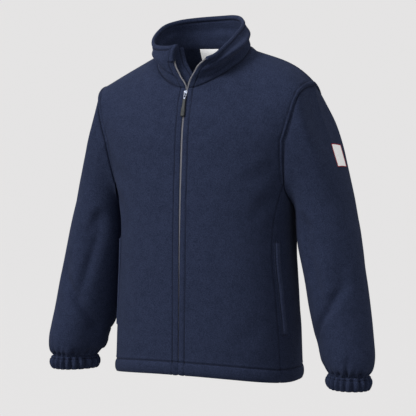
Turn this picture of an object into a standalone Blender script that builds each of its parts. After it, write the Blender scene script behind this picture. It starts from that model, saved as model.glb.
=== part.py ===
"""A fleece zip jacket, filled out as if worn, with nobody in it.

Its frame: the wearer faces -Y, the wearer's left is +X and up is +Z. The origin is where the neck
and shoulders of the wearer hold it: on the middle plane, level with the top of the shoulder seams.
Each cut piece is a closed wall. A piece is worked out as a grid of points on the cloth's outer face,
the neighbours share the points of a seam, and every wall goes inwards from there by its thickness,
along one mitre line at a seam, so that walls never cross.
"""

import math

import bpy
import numpy as np

# Cloth and seams
SEAM_GAP = 0.0003  # between the pieces at a seam
LEAST_LEAN = 0.5  # limits how far a sharp mitre reaches in
FOLDED_SEAM = 0.9  # normals that add up to less than this meet in a sharp fold
FLEECE = 0.0026  # one layer
DOUBLE = 0.0052  # two layers, as in the collar and the turned hem
COLLAR_SEAM = 0.0030  # the collar where it is pressed into the neck seam
BOXINESS = 2.4  # the exponent of the torso's sections: 2 is an ellipse
SLEEVE_BOXINESS = 2.2

# Hem, underarm and yoke
HEM_FRONT_Z = -0.6975
HEM_BACK_Z = -0.706
HEM_DIP = 0.0145  # the sides hang this much lower
HEM_TURN = 0.026  # height of the turned and stitched hem
UNDERARM_Z = -0.298
YOKE_Z = -0.205  # above this the panels round off to the shoulder

# The torso's level sections. seam_y is where the side seam runs, forward of the side.
TORSO_COLUMNS = ("z", "half_width", "front", "back", "seam_y")
TORSO_ROWS = (
    (-0.725, 0.2105, 0.1550, 0.1470, -0.0660),
    (-0.700, 0.2090, 0.1548, 0.1465, -0.0660),
    (-0.620, 0.2058, 0.1535, 0.1450, -0.0670),
    (-0.530, 0.2005, 0.1515, 0.1430, -0.0700),
    (-0.440, 0.1960, 0.1500, 0.1405, -0.0735),
    (-0.370, 0.1970, 0.1480, 0.1390, -0.0690),
    (-0.298, 0.2105, 0.1445, 0.1375, -0.0600),
    (-0.250, 0.2270, 0.1410, 0.1365, -0.0600),
    (-0.205, 0.2460, 0.1380, 0.1350, -0.0600),
    (-0.150, 0.2680, 0.1320, 0.1300, -0.0600),
)

# The lower armhole, from the side seam up to the yoke: where its edge is on the torso.
ARMHOLE_COLUMNS = ("y", "z")
ARMHOLE_FRONT_ROWS = (
    (-0.0600, -0.2980),
    (-0.0705, -0.2690),
    (-0.0800, -0.2370),
    (-0.0870, -0.2050),
)
ARMHOLE_BACK_ROWS = (
    (-0.0600, -0.2980),
    (-0.0320, -0.2972),
    (0.0000, -0.2930),
    (0.0300, -0.2820),
    (0.0530, -0.2620),
    (0.0680, -0.2350),
    (0.0740, -0.2050),
)

# Neckline and shoulder
NECK_HALF_WIDTH = 0.104
NECK_MIDDLE_Y = -0.024
NECK_HALF_DEPTH = 0.088
NECK_PITCH = 0.43  # how steeply the neckline falls to the front
NECK_ROUND = 0.030
NECK_TOP_Z = 0.005
NECK_SIDE_RISE = 0.006  # how much higher the neckline runs at the sides
NECK_CORNER_RISE = 0.006  # and between the sides and the front
SHOULDER_TURN = math.radians(78)  # where round the neck the shoulder seam starts
SHOULDER_TIP = (0.2510, -0.0120, -0.0830)
SHOULDER_CROWN_LEFT, SHOULDER_CROWN_RIGHT = 0.0150, 0.0010  # each seam's rise over a straight line
CROWN_OUT = 1.6  # over 1, the seam rises most beyond its middle
SHOULDER_FULLNESS = 0.65  # how squarely the cloth turns over the shoulder at the armhole

# How many facets
NECK_FRONT_STEPS = 8
NECK_BACK_STEPS = 6
SHOULDER_STEPS = 5
HEM_HEIGHTS = (0.0, 0.004, 0.013, 0.0225, HEM_TURN, 0.031)
BODY_STEPS = 8
SHOULDER_RISE_STEPS = 7

# The hem's section: how far the turned cloth stands out at each of HEM_HEIGHTS
HEM_SWELL = (-0.0004, 0.0012, 0.0016, 0.0010, -0.0008, 0.0)

# The collar. turn goes round the neck from the centre back, positive to the wearer's left.
COLLAR_COLUMNS = ("turn", "rim_x", "rim_y", "rim_z", "bulge", "crease", "bow")
COLLAR_ROWS = (
    (-180, -0.0195, -0.1240, -0.0040, 0.000, 0.000, 0.016),
    (-165, -0.0450, -0.1170, -0.0040, 0.003, 0.001, 0.011),
    (-150, -0.0720, -0.1030, -0.0020, 0.006, 0.004, 0.005),
    (-130, -0.1000, -0.0780, 0.0060, 0.007, 0.005, 0.000),
    (-110, -0.1110, -0.0500, 0.0240, 0.005, 0.003, 0.000),
    (-90, -0.1050, -0.0220, 0.0460, 0.003, 0.000, 0.000),
    (-60, -0.0840, 0.0160, 0.0620, 0.003, 0.000, 0.000),
    (-30, -0.0480, 0.0420, 0.0690, 0.003, 0.000, 0.000),
    (0, 0.0000, 0.0550, 0.0720, 0.003, 0.000, 0.000),
    (30, 0.0450, 0.0440, 0.0710, 0.003, 0.000, 0.000),
    (60, 0.0740, 0.0180, 0.0600, 0.005, 0.000, 0.000),
    (90, 0.0850, -0.0120, 0.0440, 0.012, 0.002, 0.000),
    (110, 0.0860, -0.0400, 0.0290, 0.018, 0.004, 0.000),
    (130, 0.0840, -0.0720, 0.0090, 0.019, 0.006, 0.000),
    (150, 0.0790, -0.0980, -0.0110, 0.016, 0.006, 0.002),
    (165, 0.0730, -0.1150, -0.0240, 0.008, 0.003, 0.006),
    (180, 0.0610, -0.1300, -0.0330, 0.000, 0.000, 0.010),
)
COLLAR_STEPS = 8
BULGE_AT, BULGE_SPREAD = 0.60, 0.20  # share of the collar's height
CREASE_AT, CREASE_SPREAD = 0.27, 0.11
BOW_UP = 1.3  # over 1, the front edges bow most above the middle of their height

# The sleeve's sections across its own middle line: how far it reaches to each side of that line.
SLEEVE_COLUMNS = ("x", "y", "z", "outer", "inner", "fore", "aft")
SLEEVE_ROWS = (
    (0.2640, 0.0160, -0.3500, 0.0640, 0.0560, 0.0820, 0.0800),
    (0.2760, 0.0130, -0.4200, 0.0690, 0.0660, 0.0800, 0.0780),
    (0.2945, 0.0080, -0.5100, 0.0660, 0.0650, 0.0770, 0.0750),
    (0.3100, 0.0025, -0.5850, 0.0630, 0.0630, 0.0745, 0.0735),
    (0.3215, -0.0060, -0.6350, 0.0595, 0.0585, 0.0710, 0.0700),
    (0.3285, -0.0115, -0.6640, 0.0560, 0.0555, 0.0680, 0.0670),
    (0.3320, -0.0160, -0.6830, 0.0495, 0.0495, 0.0610, 0.0610),
    (0.3320, -0.0165, -0.6960, 0.0405, 0.0405, 0.0500, 0.0500),
)
SLEEVE_TWIST = math.radians(26)  # how far its long way across turns outwards, from the elbow down
TWIST_FULL = 0.35
CAP_STEPS = 5
ARM_STEPS = 8
GATHER_STEPS = 6
GATHERS_FROM = 0.62  # share of the sleeve's rings below the cap where its facets double
SLEEVE_UNDERLAP = 0.0022  # how deep the sleeve head sits below the body's edge
CAP_SPREAD = 0.75  # how squarely the sleeve leaves the armhole at front and back
CAP_LEAN, CAP_TWIST = -0.01, 0.43  # how far out it leaves at the top: less in front, more behind

# Soft folds of a sleeve: troughs that run down and round it.
FOLD_COLUMNS = ("from_turn", "to_turn", "from_row", "to_row", "depth", "width")
FOLD_ROWS = (
    (150, 60, 0.50, 0.30, 0.0070, 0.30),  # the elbow, from the inside forward
    (118, 105, 0.04, 0.34, 0.0050, 0.26),  # below the underarm at the front
    (242, 255, 0.04, 0.36, 0.0045, 0.26),  # the same at the back
    (205, 300, 0.52, 0.36, 0.0060, 0.30),  # the elbow, behind
)

# Gathered wrist and cuff
GATHERS = 20
GATHER_DEPTH = 0.0075
CUFF_HEIGHT = 0.027
CUFF_SWELL = 0.0052
CUFF_DRAWN_IN = 0.0010  # at its two edges
CUFF_RIB = 0.0028
CUFF_HALF_X, CUFF_HALF_Y = 0.0410, 0.0530
CUFF_STEPS = 4

# Zip
ZIP_HALF_GAP = 0.0032  # from the middle to the front edges of the cloth
COIL_WIDTH = 0.0026
COIL_DEPTH = 0.0026
TAPE_REACH = 0.0125  # how far the tape goes in behind the cloth
CLOSING_SHARE = 0.040  # the front's column along the tape's inner edge
TAPE = 0.0010
TAPE_GAP = 0.0013  # behind the cloth
GUARD_OPEN_REACH = 0.032  # past the front edge, where the neck is open
GUARD_OPEN_TURN = (1.0, 0.36, -0.04)  # the way it stands there
GUARD_TOP_REACH = 0.010  # what is left of that reach at the collar's rim
GUARD_SPACE = 0.0030  # behind the cloth, clear of the tape and of the slider's back plate
GUARD_TOP_SPACE = 0.0040  # behind the cloth at the rim, clear of the chin guard
CHIN_GUARD_STEPS = 4  # how many of the collar's steps the folded top covers
CHIN_GUARD_REACH = 0.011

# Slider and its pull, in the cloth's own lean: z along the zip from the slider's middle
SLIDER_DOWN = 0.0140  # from the neck seam down to the slider's middle
SLIDER_WIDTH = 0.0094
SLIDER_HEIGHT = 0.0165
SLIDER_CORNER = 0.0026
SLIDER_TAPER = 0.78  # its lower end's width, as a share of its upper end's
SLIDER_CLEAR = 0.0009
PLATE = 0.0013
BRIDGE_WIDTH = 0.0016
BRIDGE_BAR = 0.0012
BRIDGE_ROOT = 0.0005  # how deep it goes into the plate
BRIDGE_TUNNEL = 0.0027
BRIDGE_LOW, BRIDGE_HIGH = -0.0062, 0.0026
PIVOT_Z = -0.0038
PULL_BAR = 0.0014
PULL_SLOT, PULL_SLOT_WIDTH, PULL_SLOT_CORNER = 0.0040, 0.0028, 0.0008
PULL_WIDTH = 0.0056
PULL_CORNER = 0.0012
PULL_TAPER = 0.72  # its lower end's width, inside the grip's neck
PULL_LENGTH = 0.0215
PULL_THICK = 0.0014
GRIP_WIDTH = 0.0086
GRIP_LENGTH = 0.0250
GRIP_THICK = 0.0042
# The grip's sections: share of its length, then of its width and thickness
GRIP_SECTIONS = (
    (0.0, 0.50, 0.62),
    (0.10, 0.70, 0.86),
    (0.30, 0.84, 1.0),
    (0.80, 1.0, 1.0),
    (0.94, 0.96, 0.84),
    (1.0, 0.78, 0.5),
)

# Pocket welts, neck label and sleeve badge
WELT_TOP_Z, WELT_BOTTOM_Z = -0.4150, -0.6170
WELT_WIDTH = 0.0190
WELT_FROM_SEAM = 0.0100
WELT_THICK = 0.0022
WELT_LEAN = 0.0055  # the welt's top is this much nearer the seam than its foot
LAY_GAP = 0.0005  # under a piece that lies on the cloth
LABEL_X = -0.026
LABEL_HANG = 0.0025  # how far it stands off the back below its seam
LABEL_WIDTH, LABEL_HEIGHT, LABEL_THICK = 0.041, 0.050, 0.0008
BADGE_WIDTH, BADGE_HEIGHT, BADGE_THICK = 0.046, 0.052, 0.0012
BADGE_Z = -0.238
BADGE_SHIFT = -0.003

# Looks of the parts: colour, roughness and metallic
LOOKS = {
    "fleece": ((0.022, 0.028, 0.062, 1), 0.95, 0.0),
    "zip": ((0.21, 0.215, 0.25, 1), 0.55, 0.0),
    "nickel": ((0.62, 0.64, 0.68, 1), 0.30, 1.0),
    "rubber": ((0.055, 0.060, 0.062, 1), 0.60, 0.0),
    "white": ((0.82, 0.81, 0.80, 1), 0.80, 0.0),
}


# ------------------------------------------------------------------ tables and curves


def table(columns, rows):
    """The rows as one array for each named column."""
    return dict(zip(columns, np.array(rows, float).T))


def smooth(x, xs, ys):
    """A smooth curve through a table's points, read at x."""
    x = np.asarray(x, float)
    slopes = np.gradient(ys, xs)
    i = np.clip(np.searchsorted(xs, x, side="right") - 1, 0, len(xs) - 2)
    span = xs[i + 1] - xs[i]
    t = np.clip((x - xs[i]) / span, 0, 1)
    return hermite(ys[i], slopes[i] * span, ys[i + 1], slopes[i + 1] * span, t)


def hermite(start, start_pull, end, end_pull, t):
    """The point at t on the cubic that leaves start along start_pull and arrives along end_pull."""
    return (
        (2 * t**3 - 3 * t**2 + 1) * start
        + (t**3 - 2 * t**2 + t) * start_pull
        + (3 * t**2 - 2 * t**3) * end
        + (t**3 - t**2) * end_pull
    )


def unit(v):
    return v / np.linalg.norm(v, axis=-1, keepdims=True)


def bump(x, middle, spread):
    return np.exp(-(((x - middle) / spread) ** 2))


TORSO = table(TORSO_COLUMNS, TORSO_ROWS)
COLLAR = table(COLLAR_COLUMNS, COLLAR_ROWS)
SLEEVE = table(SLEEVE_COLUMNS, SLEEVE_ROWS)


# ------------------------------------------------------------------ the torso's form


def torso_size(name, z):
    return smooth(z, TORSO["z"], TORSO[name])


def torso(turn, z):
    """The point of the torso at a turn from the centre front round to the wearer's left."""
    power = 2 / BOXINESS
    sine, cosine = np.sin(turn), np.cos(turn)
    depth = np.where(cosine > 0, torso_size("front", z), torso_size("back", z))
    x = torso_size("half_width", z) * np.sign(sine) * np.abs(sine) ** power
    y = -depth * np.sign(cosine) * np.abs(cosine) ** power
    return np.stack(np.broadcast_arrays(x, y, z), axis=-1)


def turn_at(y, z):
    """The turn of the torso's point that is at y, on the wearer's left."""
    depth = np.where(y < 0, torso_size("front", z), torso_size("back", z))
    return np.arccos(np.sign(-y) * (np.abs(y) / depth) ** (BOXINESS / 2))


def seam_turn(z):
    return turn_at(torso_size("seam_y", z), z)


def hem_z(turn):
    back = (1 - np.cos(turn)) / 2
    return HEM_FRONT_Z + (HEM_BACK_Z - HEM_FRONT_Z) * back - HEM_DIP * np.sin(turn) ** 2


def body_shares():
    """The rows from the hem to the underarm, as shares of that height."""
    low = np.array(HEM_HEIGHTS) / (UNDERARM_Z - HEM_FRONT_Z)
    return np.concatenate([low, np.linspace(low[-1], 1, BODY_STEPS + 1)[1:]])


def neckline(turn):
    """The neck seam, at a turn from the centre back."""
    x = NECK_HALF_WIDTH * np.sin(turn)
    y = NECK_MIDDLE_Y + NECK_HALF_DEPTH * np.cos(turn)
    z = NECK_PITCH * (y - np.sqrt(y**2 + NECK_ROUND**2)) + NECK_TOP_Z + NECK_SIDE_RISE * np.sin(turn) ** 2
    z += np.where(np.cos(turn) < 0, NECK_CORNER_RISE * np.sin(2 * turn) ** 2, 0)
    return np.stack(np.broadcast_arrays(x, y, z), axis=-1)


def shoulder_seam(t, crown):
    start, end = neckline(SHOULDER_TURN), np.array(SHOULDER_TIP)
    t = np.asarray(t, float)[..., None]
    return start + (end - start) * t + np.array([0, 0, crown]) * np.sin(math.pi * t**CROWN_OUT) ** 0.75


def armhole_edge(rows):
    edge = table(ARMHOLE_COLUMNS, rows)
    return turn_at(edge["y"], edge["z"]), edge["z"]


def panel(facing, neck_turns, armhole_rows, crown):
    """The outer grid of half a front or back, rows from the hem up and columns out from the middle."""
    front = facing < 0
    steps = len(neck_turns) - 1
    neck_shares = np.linspace(0, 0.52, steps + 1)
    if front:
        neck_shares = np.concatenate([[0, CLOSING_SHARE], np.linspace(0, 0.52, steps)[1:]])
    share = np.concatenate([neck_shares, np.linspace(0.52, 1, SHOULDER_STEPS + 1)[1:]])
    middle = 0.0 if front else math.pi
    rows = []
    hem_edge = seam_turn(HEM_FRONT_Z)
    hem_turns = middle + (hem_edge - middle) * share
    for t in body_shares():
        z = hem_z(hem_turns) + (UNDERARM_Z - hem_z(hem_turns)) * t
        turns = middle + (seam_turn(z[-1]) - middle) * share
        rows.append(torso(turns, z))
    edge_turns, edge_z = armhole_edge(armhole_rows)
    middle_z = np.linspace(UNDERARM_Z, YOKE_Z, len(edge_z))
    for edge_turn, outer_z, inner_z in list(zip(edge_turns, edge_z, middle_z))[1:]:
        z = inner_z + (outer_z - inner_z) * share**2
        rows.append(torso(middle + (edge_turn - middle) * share, z))
    yoke = rows[-1]
    rise = (torso(middle + (edge_turns[-1] - middle) * share, YOKE_Z + 0.01) - yoke) / 0.01
    neck = neckline(np.array(neck_turns))
    top = np.concatenate([neck, shoulder_seam(np.linspace(0, 1, SHOULDER_STEPS + 1)[1:], crown)])
    blend = np.clip(share / 0.52, 0, 1)[:, None]
    past = np.clip((share - 0.52) / 0.48, 0, 1)[:, None]
    at_middle = np.array([0, -0.32 * facing, 0.95]) if front else np.array([0, -0.55 * facing, 0.84])
    at_neck = np.array([-0.50, -0.80 * facing, 0.42])
    at_tip = np.array([0.20, -0.97 * facing, 0.12])
    arrive = at_middle * (1 - blend) + at_neck * blend * (1 - past) + at_tip * past
    reach = np.linalg.norm(top - yoke, axis=1, keepdims=True) * (1 + SHOULDER_FULLNESS * past**2)
    for t in np.linspace(0, 1, SHOULDER_RISE_STEPS + 1)[1:]:
        rows.append(hermite(yoke, rise * reach, top, unit(arrive) * reach, t))
    return swell_hem(np.array(rows))


def swell_hem(grid):
    """The turned hem stands out a little and is drawn in at its stitching."""
    sizes = np.array([TORSO["half_width"][0], TORSO["front"][0], math.inf])
    for row, swell in enumerate(HEM_SWELL):
        grid[row] += unit(grid[row] / sizes**2) * swell
    return grid


# ------------------------------------------------------------------ walls


class Piece:
    """A cut piece: a grid of points on the cloth's outer face, which may close on itself."""

    def __init__(self, name, grid, thickness, family="body", closed=False):
        self.name, self.grid, self.closed = name, np.array(grid, float), closed
        self.family = family  # pieces of one family count once where three meet
        self.seam_points = self.grid.copy()
        self.thickness = np.broadcast_to(thickness, self.grid.shape[:2]).astype(float).copy()
        self.normal = grid_normals(self.grid, closed)
        self.inward = -self.normal * self.thickness[..., None]

    def border(self):
        """The row and column of every point on an edge."""
        rows, columns = self.grid.shape[:2]
        return [
            (i, j)
            for i in range(rows)
            for j in range(columns)
            if i in (0, rows - 1) or (not self.closed and j in (0, columns - 1))
        ]


def grid_normals(grid, closed):
    """Normals that point out, for rows that go up and columns that go to the wearer's left."""
    if closed:
        across = np.roll(grid, -1, axis=1) - np.roll(grid, 1, axis=1)
    else:
        across = np.gradient(grid, axis=1)
    return unit(np.cross(across, np.gradient(grid, axis=0)))


def into_piece(piece, i, j):
    """The way into a piece from a border point: in its cloth, and square to its edge there."""
    rows, columns = piece.grid.shape[:2]
    on_row = i in (0, rows - 1)
    on_column = not piece.closed and j in (0, columns - 1)
    in_i = 1 if i == 0 else rows - 2 if i == rows - 1 else i
    in_j = (1 if j == 0 else columns - 2) if on_column else j
    step = piece.grid[in_i, in_j] - piece.seam_points[i, j]
    if on_row and on_column:
        return unit(step)
    if on_row:
        tangent = piece.seam_points[i, (j + 1) % columns] - piece.seam_points[i, j - 1]
    else:
        tangent = piece.seam_points[i + 1, j] - piece.seam_points[i - 1, j]
    square = unit(np.cross(piece.normal[i, j], tangent))
    return square if square @ step > 0 else -square


def seam_line(shared):
    """The inward line on which the pieces that meet at a seam point are mitred."""
    families = {}
    for piece, i, j in shared:
        families.setdefault(piece.family, []).append((piece.normal[i, j], into_piece(piece, i, j)))
    means = [[unit(sum(vectors)) for vectors in zip(*family)] for family in families.values()]
    inward = -sum(normal for normal, _ in means)
    folded = max(0.0, 1 - np.linalg.norm(inward) / FOLDED_SEAM)
    along_cloth = sum(step for _, step in means)
    if along_cloth @ inward < 0:
        along_cloth = -along_cloth
    return unit(inward + along_cloth * folded)


def mitre_seams(pieces):
    """Gives the pieces that share a seam one inward line there, then draws each back by half the gap."""
    meeting = {}
    for piece in pieces:
        for i, j in piece.border():
            key = tuple(np.round(piece.seam_points[i, j] / 2e-5).astype(int))
            meeting.setdefault(key, []).append((piece, i, j))
    moves = []
    for shared in meeting.values():
        if len({piece.name for piece, _, _ in shared}) < 2:
            continue
        line = seam_line(shared)
        for piece, i, j in shared:
            lean = float(-piece.normal[i, j] @ line)
            piece.inward[i, j] = line * piece.thickness[i, j] / max(lean, LEAST_LEAN)
            back = into_piece(piece, i, j)
            back = unit(back - line * (back @ line))
            sink = piece.sink[j] if piece.closed else 0.0
            moves.append((piece, i, j, back * SEAM_GAP * 0.6 / max(lean, LEAST_LEAN / 2) + line * sink))
    for piece, i, j, move in moves:
        piece.grid[i, j] += move


def material(name):
    found = bpy.data.materials.get(name)
    if found:
        return found
    made = bpy.data.materials.new(name)
    made.use_nodes = True
    shader = made.node_tree.nodes["Principled BSDF"]
    colour, roughness, metallic = LOOKS[name]
    shader.inputs["Base Color"].default_value = colour
    shader.inputs["Roughness"].default_value = roughness
    shader.inputs["Metallic"].default_value = metallic
    made.diffuse_color = colour
    return made


def volume(points, faces):
    """Six times the volume inside the faces, which is negative when they face inwards."""
    points = np.array(points)
    return sum(
        float(np.dot(points[face[0]], np.cross(points[face[k]], points[face[k + 1]])))
        for face in faces
        for k in range(1, len(face) - 1)
    )


def add_object(name, points, faces, look):
    if volume(points, faces) < 0:
        faces = [face[::-1] for face in faces]
    mesh = bpy.data.meshes.new(name)
    mesh.from_pydata([tuple(p) for p in points], [], faces)
    mesh.materials.append(material(look))
    mesh.validate()
    mesh.shade_smooth()
    mesh.set_sharp_from_angle(angle=math.radians(50))
    made = bpy.data.objects.new(name, mesh)
    bpy.context.scene.collection.objects.link(made)
    return made


def rim(points, a, b, inner_b, inner_a):
    """A seam's face as two triangles, split the same way on both of the pieces that meet there."""
    rank = np.array([0.37, 0.11, 1.0])
    if np.abs(points[a]) @ rank < np.abs(points[b]) @ rank:
        return [(a, b, inner_b), (a, inner_b, inner_a)]
    return [(a, b, inner_a), (b, inner_b, inner_a)]


def wall(piece, look="fleece"):
    """The closed wall between a piece's outer grid and the same grid moved inwards."""
    rows, columns = piece.grid.shape[:2]
    outer = np.arange(rows * columns).reshape(rows, columns)
    inner = outer + rows * columns
    points = np.concatenate([piece.grid.reshape(-1, 3), (piece.grid + piece.inward).reshape(-1, 3)])
    faces = []
    last = columns if piece.closed else columns - 1
    for i in range(rows - 1):
        for j in range(last):
            k = (j + 1) % columns
            faces.append((outer[i, j], outer[i, k], outer[i + 1, k], outer[i + 1, j]))
            faces.append((inner[i, j], inner[i + 1, j], inner[i + 1, k], inner[i, k]))
    for j in range(last):
        k = (j + 1) % columns
        faces += rim(points, outer[0, k], outer[0, j], inner[0, j], inner[0, k])
        faces += rim(points, outer[-1, j], outer[-1, k], inner[-1, k], inner[-1, j])
    if not piece.closed:
        for i in range(rows - 1):
            faces += rim(points, outer[i, 0], outer[i + 1, 0], inner[i + 1, 0], inner[i, 0])
            faces += rim(points, outer[i + 1, -1], outer[i, -1], inner[i, -1], inner[i + 1, -1])
    return add_object(piece.name, points, [tuple(int(v) for v in face) for face in faces], look)


def ribbon(name, sections, look):
    """A closed body through sections that have the same number of points, each wound the same way."""
    sections = np.array(sections)
    count, around = sections.shape[:2]
    index = np.arange(count * around).reshape(count, around)
    faces = []
    for i in range(count - 1):
        for j in range(around):
            k = (j + 1) % around
            faces.append((index[i, j], index[i + 1, j], index[i + 1, k]))
            faces.append((index[i, j], index[i + 1, k], index[i, k]))
    faces += [tuple(index[0]), tuple(index[-1][::-1])]
    return add_object(name, sections.reshape(-1, 3), [tuple(int(v) for v in face) for face in faces], look)


def clear_scene():
    for old in list(bpy.data.objects):
        bpy.data.objects.remove(old, do_unlink=True)


# ------------------------------------------------------------------ body panels and collar


def mirrored(grid):
    """The same grid on the wearer's right, with its columns in the opposite order."""
    return (grid * np.array([-1, 1, 1]))[:, ::-1]


def neck_turns():
    """The columns round the neckline: from the front edge, and from the centre back, to the shoulder."""
    even = np.linspace(math.pi, SHOULDER_TURN, NECK_FRONT_STEPS + 1)
    closing = math.pi - math.asin((ZIP_HALF_GAP + TAPE_REACH) / NECK_HALF_WIDTH)
    front = np.concatenate([[math.pi, closing], even[1:]])
    return front, np.linspace(0, SHOULDER_TURN, NECK_BACK_STEPS + 1)


def body_pieces():
    front_turns, back_turns = neck_turns()
    fronts, backs = [], []
    for crown in (SHOULDER_CROWN_LEFT, SHOULDER_CROWN_RIGHT):
        fronts.append(panel(-1, front_turns, ARMHOLE_FRONT_ROWS, crown))
        backs.append(panel(1, back_turns, ARMHOLE_BACK_ROWS, crown))
        fronts[-1][:, 0, 0] = ZIP_HALF_GAP
    layers = np.full(fronts[0].shape[:2], FLEECE)
    layers[: len(HEM_HEIGHTS) - 1] = DOUBLE
    front_left = Piece("front_left", fronts[0], layers)
    front_right = Piece("front_right", mirrored(fronts[1]), layers[:, ::-1])
    whole_back = np.concatenate([backs[0][:, ::-1], mirrored(backs[1])[:, ::-1][:, 1:]], axis=1)
    layers = np.full(whole_back.shape[:2], FLEECE)
    layers[: len(HEM_HEIGHTS) - 1] = DOUBLE
    back_piece = Piece("back", whole_back, layers)
    return front_left, front_right, back_piece


def collar_turns():
    front, back = neck_turns()
    left = np.concatenate([back, front[::-1][1:]])
    return np.concatenate([-left[::-1], left[1:]])


def collar_piece():
    """The stand collar, from the wearer's left front edge round the back to the right one."""
    turns = collar_turns()
    base = neckline(turns)
    base[0, 0], base[-1, 0] = -ZIP_HALF_GAP, ZIP_HALF_GAP
    degrees = np.degrees(turns)
    read = {name: smooth(degrees, COLLAR["turn"], COLLAR[name]) for name in COLLAR_COLUMNS[1:]}
    rim = np.stack([read["rim_x"], read["rim_y"], read["rim_z"]], axis=1)
    out = unit(np.stack([np.sin(turns), np.cos(turns), 0 * turns], axis=1))
    rows = []
    for t in np.linspace(0, 1, COLLAR_STEPS + 1):
        ends = math.sin(math.pi * t) ** 0.5 if 0 < t < 1 else 0.0
        push = read["bulge"] * bump(t, BULGE_AT, BULGE_SPREAD)
        push -= read["crease"] * bump(t, CREASE_AT, CREASE_SPREAD)
        row = base + (rim - base) * t + out * (push * ends)[:, None]
        row[:, 0] -= read["bow"] * math.sin(math.pi * t**BOW_UP)
        rows.append(row)
    grid = np.array(rows)[:, ::-1]
    layers = np.full(grid.shape[:2], DOUBLE)
    layers[0] = COLLAR_SEAM
    return Piece("collar", grid, layers, family="collar")


# ------------------------------------------------------------------ sleeves and cuffs


def armhole_loop(front, back):
    """The armhole on the wearer's left: from the shoulder tip down the front and up the back."""
    first = len(body_shares()) - 1
    down_front = front.grid[first:, -1][::-1]
    up_back = back.grid[first:, 0]
    return np.concatenate([down_front, up_back[1:-1]])


def loop_turns(loop):
    """Each point's turn round the sleeve, by its share of the armhole's length."""
    steps = np.linalg.norm(np.roll(loop, -1, axis=0) - loop, axis=1)
    return 2 * math.pi * np.concatenate([[0], np.cumsum(steps)[:-1]]) / steps.sum()


def sleeve_line(t):
    """The sleeve's middle line and its direction, t from 0 at the first section to 1 at the wrist."""
    where = np.linspace(0, 1, len(SLEEVE_ROWS))
    point = np.array([smooth(t, where, SLEEVE[name]) for name in "xyz"])
    after = np.array([smooth(min(t + 0.01, 1), where, SLEEVE[name]) for name in "xyz"])
    before = np.array([smooth(max(t - 0.01, 0), where, SLEEVE[name]) for name in "xyz"])
    return point, unit(after - before)


def sleeve_axes(along):
    """The way out to the wearer's side and the way forward, square to the sleeve's line."""
    outward = unit(np.array([1.0, 0, 0]) - along * along[0])
    forward = np.cross(along, outward)
    return outward, forward if forward[1] < 0 else -forward


def sleeve_ring(t, turns):
    """A section of the sleeve, square to its middle line. Turn 0 is its outer side, then its front."""
    where = np.linspace(0, 1, len(SLEEVE_ROWS))
    middle, along = sleeve_line(t)
    outward, forward = sleeve_axes(along)
    size = {name: smooth(t, where, SLEEVE[name]) for name in SLEEVE_COLUMNS[3:]}
    power = 2 / SLEEVE_BOXINESS
    twist = SLEEVE_TWIST * min(1.0, t / TWIST_FULL)
    sine, cosine = np.sin(turns + twist), np.cos(turns + twist)
    side = np.where(cosine > 0, size["outer"], size["inner"]) * np.sign(cosine) * np.abs(cosine) ** power
    deep = np.where(sine > 0, size["fore"], size["aft"]) * np.sign(sine) * np.abs(sine) ** power
    across = outward * math.cos(twist) - forward * math.sin(twist)
    ahead = forward * math.cos(twist) + outward * math.sin(twist)
    return middle + side[:, None] * across + deep[:, None] * ahead


def fold_depth(turns, row):
    """How far the soft folds draw the sleeve in, at a share of its length below the cap."""
    folds = table(FOLD_COLUMNS, FOLD_ROWS)
    drawn = np.zeros_like(turns)
    for k in range(len(FOLD_ROWS)):
        low, high = sorted((folds["from_row"][k], folds["to_row"][k]))
        if not low - 0.08 < row < high + 0.08:
            continue
        share = np.clip((row - folds["from_row"][k]) / (folds["to_row"][k] - folds["from_row"][k]), 0, 1)
        middle = math.radians(folds["from_turn"][k] + share * (folds["to_turn"][k] - folds["from_turn"][k]))
        fade = math.sin(math.pi * np.clip((row - low + 0.08) / (high - low + 0.16), 0, 1)) ** 0.7
        drawn += folds["depth"][k] * fade * bump(turns, middle, folds["width"][k])
    return drawn


def gather_wave(count, deeper):
    """Ridges and valleys round a gathered edge, uneven as elastic draws them."""
    k = np.arange(count)
    valley = k % 2
    uneven = 0.72 + 0.28 * np.sin(2.4 * k + 1.3) * np.cos(0.7 * k)
    return np.where(valley == 1, -1.0, deeper) * uneven


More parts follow.
